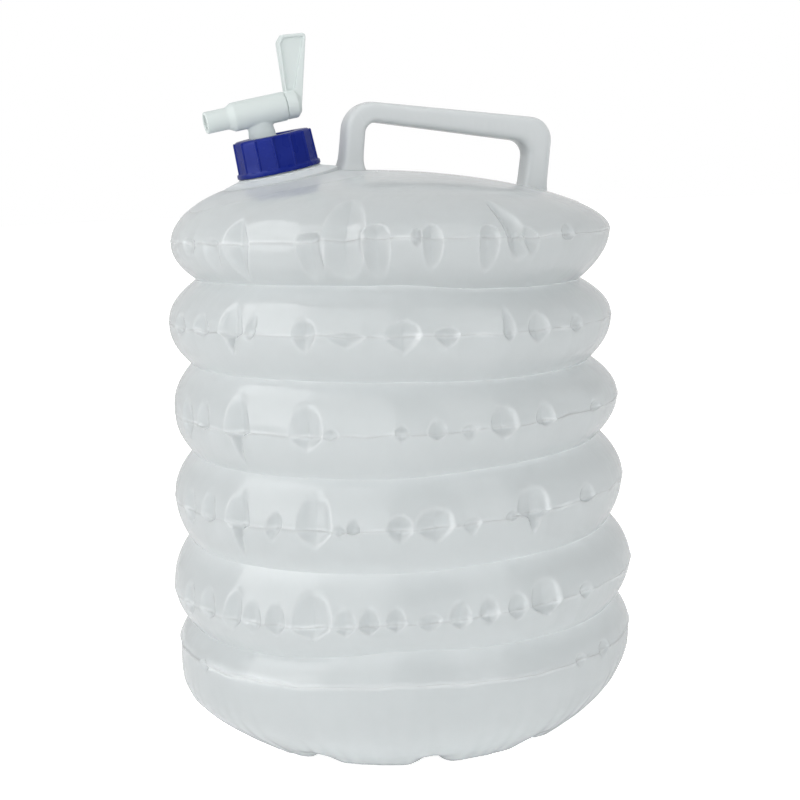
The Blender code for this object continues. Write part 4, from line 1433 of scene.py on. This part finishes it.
def slab(name, outline, depth, place):
    """The closed outline of (x, z) points made a slab about y = 0."""
    mesh = bpy.data.meshes.new(name)
    with edited(mesh) as bm:
        face = bm.faces.new([bm.verts.new((x, -depth / 2, z)) for x, z in outline])
        made = bmesh.ops.extrude_face_region(bm, geom=[face])
        moved = [part for part in made["geom"] if isinstance(part, bmesh.types.BMVert)]
        bmesh.ops.translate(bm, vec=(0, depth, 0), verts=moved)
        bmesh.ops.recalc_face_normals(bm, faces=bm.faces)
    mesh.transform(place)
    return link_object(name, mesh)


# The lever's blade: its foot and its tip along X, its thickness, what is left of that between its
# two recesses, and the depth of the block that cuts a recess
BLADE_FOOT = 0.0142
BLADE_TIP = 0.0201
BLADE_THICK = 0.0060
WEB_THICK = 0.0030
RECESS_DEPTH = 0.0040


def blade_outline(inset, low):
    """The lever's blade from the front: narrow at its foot, wide at its tip."""
    foot_x, tip_x = BLADE_FOOT, BLADE_TIP
    foot, tip, top = 0.0036 - inset, 0.0076 - inset, 0.0335 - inset
    left = max(0.0034 - inset * 0.6, 0.0005)
    right = max(0.0013 - inset * 0.4, 0.0004)
    return (
        (foot_x - foot, low),
        (tip_x - tip + 0.0002, top - left + 0.0013),
        (tip_x - tip + left * 0.9, top + 0.0012),
        (tip_x + tip - right * 1.2, top + 0.0002),
        (tip_x + tip - right * 0.35, top - right * 0.3),
        (tip_x + tip, top - right * 1.2),
        (foot_x + foot, low),
    )


class CARRIER_OT_lever(Operator):
    """Builds the lever: plug, knuckle and flared blade"""

    bl_idname = "carrier.lever"
    bl_label = "Tap lever"

    def execute(self, context):
        sizes = context.scene.carrier_tap
        place = neck_frame() @ Matrix.Translation((0, 0, BARREL_RISE))
        outline = (
            (0.0, 0.0178), (0.0048, 0.0178), (0.0070, 0.0157), (0.0070, 0.0102),
            (0.00485, 0.0102), (0.00485, 0.0064), (0.0035, 0.0064), (0.0035, 0.0036),
            (0.00485, 0.0036), (0.00485, -0.0094), (0.0035, -0.0094), (0.0035, -0.0110),
            (0.00485, -0.0110), (0.00485, -0.0144), (0.0024, -0.0144), (0.0024, -0.0024),
            (0.0, -0.0024),
        )
        lever = turned_part("tap_lever_skin", outline, 64, place @ LYING)
        blade = slab("blade", blade_outline(0, -0.0030), BLADE_THICK, place)
        combine(lever, blade, "UNION")
        for side in (-1, 1):
            shift = Matrix.Translation((0, side * (WEB_THICK + RECESS_DEPTH) / 2, 0))
            recess = slab("recess", blade_outline(0.0016, 0.0072), RECESS_DEPTH, place @ shift)
            combine(lever, recess, "DIFFERENCE")
        soften(lever, sizes.fillet_voxel * 0.9, sizes.fillet_rounds)
        smooth(lever, 60)
        dress(lever, tap_material(), "lever_polyethylene", "lever", "tap_lever")
        return {"FINISHED"}


class CARRIER_OT_seals(Operator):
    """Gives the gasket and the two O-rings their rubber"""

    bl_idname = "carrier.seals"
    bl_label = "Gasket and O-rings"

    def execute(self, context):
        white = rubber_material("gasket_rubber", (0.75, 0.75, 0.73))
        black = rubber_material("o_ring_rubber", (0.03, 0.03, 0.03))
        for name, surface in (
            ("neck_gasket", white), ("plug_o_ring_inner", black), ("plug_o_ring_outer", black)
        ):
            node = frame["nodes"][name]
            node.data.materials.clear()
            node.data.materials.append(surface)
        return {"FINISHED"}


# How far the panels of light stand from a point on the body's axis, and that point's height
LIGHT_DISTANCE = 1.3
LIGHT_HEIGHT = 0.17


def studio_vector(toward, right, up):
    """A direction given as parts toward the camera, to its right and up."""
    front = -view_back()
    side = Vector((-front.y, front.x, 0))
    return (front * toward + side * right + Vector((0, 0, up))).normalized()


def softbox(name, centre, lean, width, height, radiance, reflected):
    """A panel of light that faces the body, its middle in one direction and its top in another."""
    light = bpy.data.lights.new(name, "AREA")
    light.shape = "RECTANGLE"
    light.size, light.size_y = width * LIGHT_DISTANCE, height * LIGHT_DISTANCE
    light.energy = radiance * math.pi * light.size * light.size_y
    obj = link_object(name, light)
    out = studio_vector(*centre)
    across = studio_vector(*lean).cross(out).normalized()
    place = Matrix((across, out.cross(across), out)).transposed().to_4x4()
    place.translation = Vector((0, 0, LIGHT_HEIGHT)) + out * LIGHT_DISTANCE
    obj.matrix_world = place
    obj.visible_camera = False
    obj.visible_diffuse = not reflected
    obj.visible_transmission = not reflected
    obj.visible_glossy = reflected
    return obj


def view_back():
    """Horizontal direction from the camera into the picture."""
    return Vector((math.sin(CAMERA_TURN), math.cos(CAMERA_TURN), 0))


class CARRIER_OT_stage(Operator):
    """Sets the floor, the lights and the camera"""

    bl_idname = "carrier.stage"
    bl_label = "Floor, light and camera"

    def execute(self, context):
        sizes = context.scene.carrier_stage
        pale_floor(sizes)
        white_room(sizes)
        for panel in SOFTBOXES:
            softbox(*panel)
        for body, height, strength in (
            ("base", 0.030, 1.10), ("crest_5", 0.0825, 0.65), ("crest_3", 0.1500, 0.80),
            ("crest_2", 0.2050, 0.95), ("top", 0.2500, 1.02),
        ):
            place = (-0.03 if body == "top" else 0, 0, height)
            inner_lamp(f"inner_glow_{body}", body, place, sizes.inner_glow * strength)
        under_neck = neck_frame() @ Vector((0, 0, -0.034))
        inner_lamp("neck_glow", "top", under_neck, sizes.inner_glow * 0.14, 0.008)
        inner_lamp("foot_glow", "base", (0, 0, 0.030), sizes.inner_glow * 2.2, 0.19, "AREA")
        context.scene.view_settings.view_transform = "Standard"
        context.scene.camera = photo_camera(sizes)
        return {"FINISHED"}


def pale_floor(sizes):
    """A large disc that glows a little, so that it looks white to the camera."""
    turn = np.linspace(0, math.tau, 96, endpoint=False)
    rings = np.array([0.002, 0.2, 0.6, 1.5, 3.0, sizes.floor_radius])[:, None]
    floor = link_object("floor", mesh_from_grid("floor", round_axis(rings, turn, -0.0004)))
    close_pole(floor.data)
    if floor.data.polygons[0].normal.z < 0:
        floor.data.flip_normals()
    pale, wiring, shader, place = new_material(
        "pale_floor", Roughness=0.6, Emission_Color=(1, 1, 1, 1)
    )
    cloud(wiring, shader, place, 3.0, (0.93, 0.93, 0.93), (0.95, 0.95, 0.95))
    ray = wiring.node("ShaderNodeLightPath")
    seen = wiring.times(ray.outputs["Is Camera Ray"], 0.8)
    spread = wiring.times(ray.outputs["Is Diffuse Ray"], 0.3)
    wiring.feed(shader["Emission Strength"], wiring.add(seen, spread))
    floor.data.materials.append(pale)


def white_room(sizes):
    """An even white room, darker behind the camera in reflections, and white to the camera."""
    world = bpy.data.worlds.new("studio")
    bpy.context.scene.world = world
    world.use_nodes = True
    wiring = Wiring(world.node_tree)
    ray = wiring.node("ShaderNodeLightPath")
    toward = wiring.node("ShaderNodeTexCoord").outputs["Generated"]
    way = wiring.node("ShaderNodeVectorMath", {0: toward, 1: view_back()}, operation="DOT_PRODUCT")
    behind = wiring.mapped(way.outputs["Value"], -0.35, 0.25, 1.0, 0.0)
    darker = wiring.times(behind, sizes.room_shade)
    mirrored = wiring.times(ray.outputs["Is Glossy Ray"], darker)
    light = wiring.times(wiring.take(1.0, mirrored), sizes.daylight)
    unseen = wiring.times(wiring.take(1.0, ray.outputs["Is Camera Ray"]), light)
    background = world.node_tree.nodes["Background"].inputs
    background["Color"].default_value = (1, 1, 1, 1)
    wiring.feed(background["Strength"], wiring.add(ray.outputs["Is Camera Ray"], unseen))


# Panels of light: name, middle and top as parts toward the camera, right and up, width and height
# for each metre away, radiance, and whether it shows only in reflections
SOFTBOXES = (
    ("key_softbox", (0.35, -0.55, 0.75), (-0.5, 0.2, 0.8), 0.7, 0.7, 1.5, False),
    ("front_softbox", (0.85, 0.02, 0.30), (-0.2, 0.0, 0.95), 0.85, 0.75, 1.25, False),
    ("left_panel", (0.320, -0.840, 0.428), (-0.467, 0.234, 0.853), 0.76, 1.45, 3.2, True),
    ("front_panel", (0.792, -0.329, 0.513), (-0.518, 0.08, 0.852), 0.50, 1.65, 1.7, True),
    ("right_panel", (0.62, 0.60, 0.50), (-0.45, -0.15, 0.85), 0.45, 1.5, 1.3, True),
)


def inner_lamp(name, body, place, power, size=0.03, kind="POINT"):
    """A light inside the hollow body, which moves with one of its parts and isn't mirrored."""
    glow = bpy.data.lights.new(name, kind)
    glow.energy = power
    if kind == "AREA":
        glow.shape = "DISK"
        glow.size = size
    else:
        glow.shadow_soft_size = size
    lamp = link_object(name, glow)
    lamp.location = place
    lamp.visible_camera = False
    lamp.visible_glossy = False
    lamp.parent = frame["bodies"][body]


def photo_camera(sizes):
    """A camera that sees the body as in the photograph, looking down and rolled a little."""
    camera = bpy.data.cameras.new("camera")
    camera.sensor_width = 36
    camera.lens = camera.sensor_width * LENS_PIXELS / PICTURE_PIXELS
    camera.clip_start = 0.01
    pitch, roll = sizes.camera_pitch, CAMERA_ROLL
    back = view_back()
    right = Vector((back.y, -back.x, 0))
    upright = Vector((0, 0, 1))
    forward = back * math.cos(pitch) - upright * math.sin(pitch)
    up = upright * math.cos(pitch) + back * math.sin(pitch)
    rolled_right = right * math.cos(roll) - up * math.sin(roll)
    rolled_up = right * math.sin(roll) + up * math.cos(roll)
    place = Matrix((rolled_right, rolled_up, -forward)).transposed().to_4x4()
    height = CREST_HEIGHTS[0] + CAMERA_ABOVE_CREST
    place.translation = right * CAMERA_ASIDE - back * sizes.camera_distance + upright * height
    obj = link_object("camera", camera)
    obj.matrix_world = place
    return obj


class CARRIER_PT_panel(Panel):
    """Lists the sizes and the steps that build the carrier"""

    bl_idname = "CARRIER_PT_panel"
    bl_label = "Water carrier"
    bl_space_type = "VIEW_3D"
    bl_region_type = "UI"
    bl_category = "Carrier"

    def draw(self, context):
        for holder in PROPERTY_HOLDERS:
            box = self.layout.box()
            group = getattr(context.scene, holder)
            for name in type(group).__annotations__:
                box.prop(group, name)
        for step in STEPS:
            self.layout.operator(step.bl_idname)


PROPERTY_HOLDERS = {
    "carrier_body": BodySizes,
    "carrier_handle": HandleSizes,
    "carrier_cap": CapSizes,
    "carrier_tap": TapSizes,
    "carrier_stage": StageSizes,
}
STEPS = (
    CARRIER_OT_stage,
    CARRIER_OT_base,
    CARRIER_OT_bellows,
    CARRIER_OT_shoulder,
    CARRIER_OT_handle,
    CARRIER_OT_cap,
    CARRIER_OT_tap,
    CARRIER_OT_lever,
    CARRIER_OT_seals,
)


def register():
    for holder, group in PROPERTY_HOLDERS.items():
        bpy.utils.register_class(group)
        setattr(bpy.types.Scene, holder, PointerProperty(type=group))
    for step in STEPS:
        bpy.utils.register_class(step)
    bpy.utils.register_class(CARRIER_PT_panel)


def unregister():
    bpy.utils.unregister_class(CARRIER_PT_panel)
    for step in reversed(STEPS):
        bpy.utils.unregister_class(step)
    for holder, group in PROPERTY_HOLDERS.items():
        delattr(bpy.types.Scene, holder)
        bpy.utils.unregister_class(group)


def main():
    register()
    bpy.ops.carrier.stage()
    bpy.ops.carrier.base()
    bpy.ops.carrier.bellows()
    bpy.ops.carrier.shoulder()
    bpy.ops.carrier.handle()
    bpy.ops.carrier.cap()
    bpy.ops.carrier.tap()
    bpy.ops.carrier.lever()
    bpy.ops.carrier.seals()


if __name__ == "__main__":
    main()
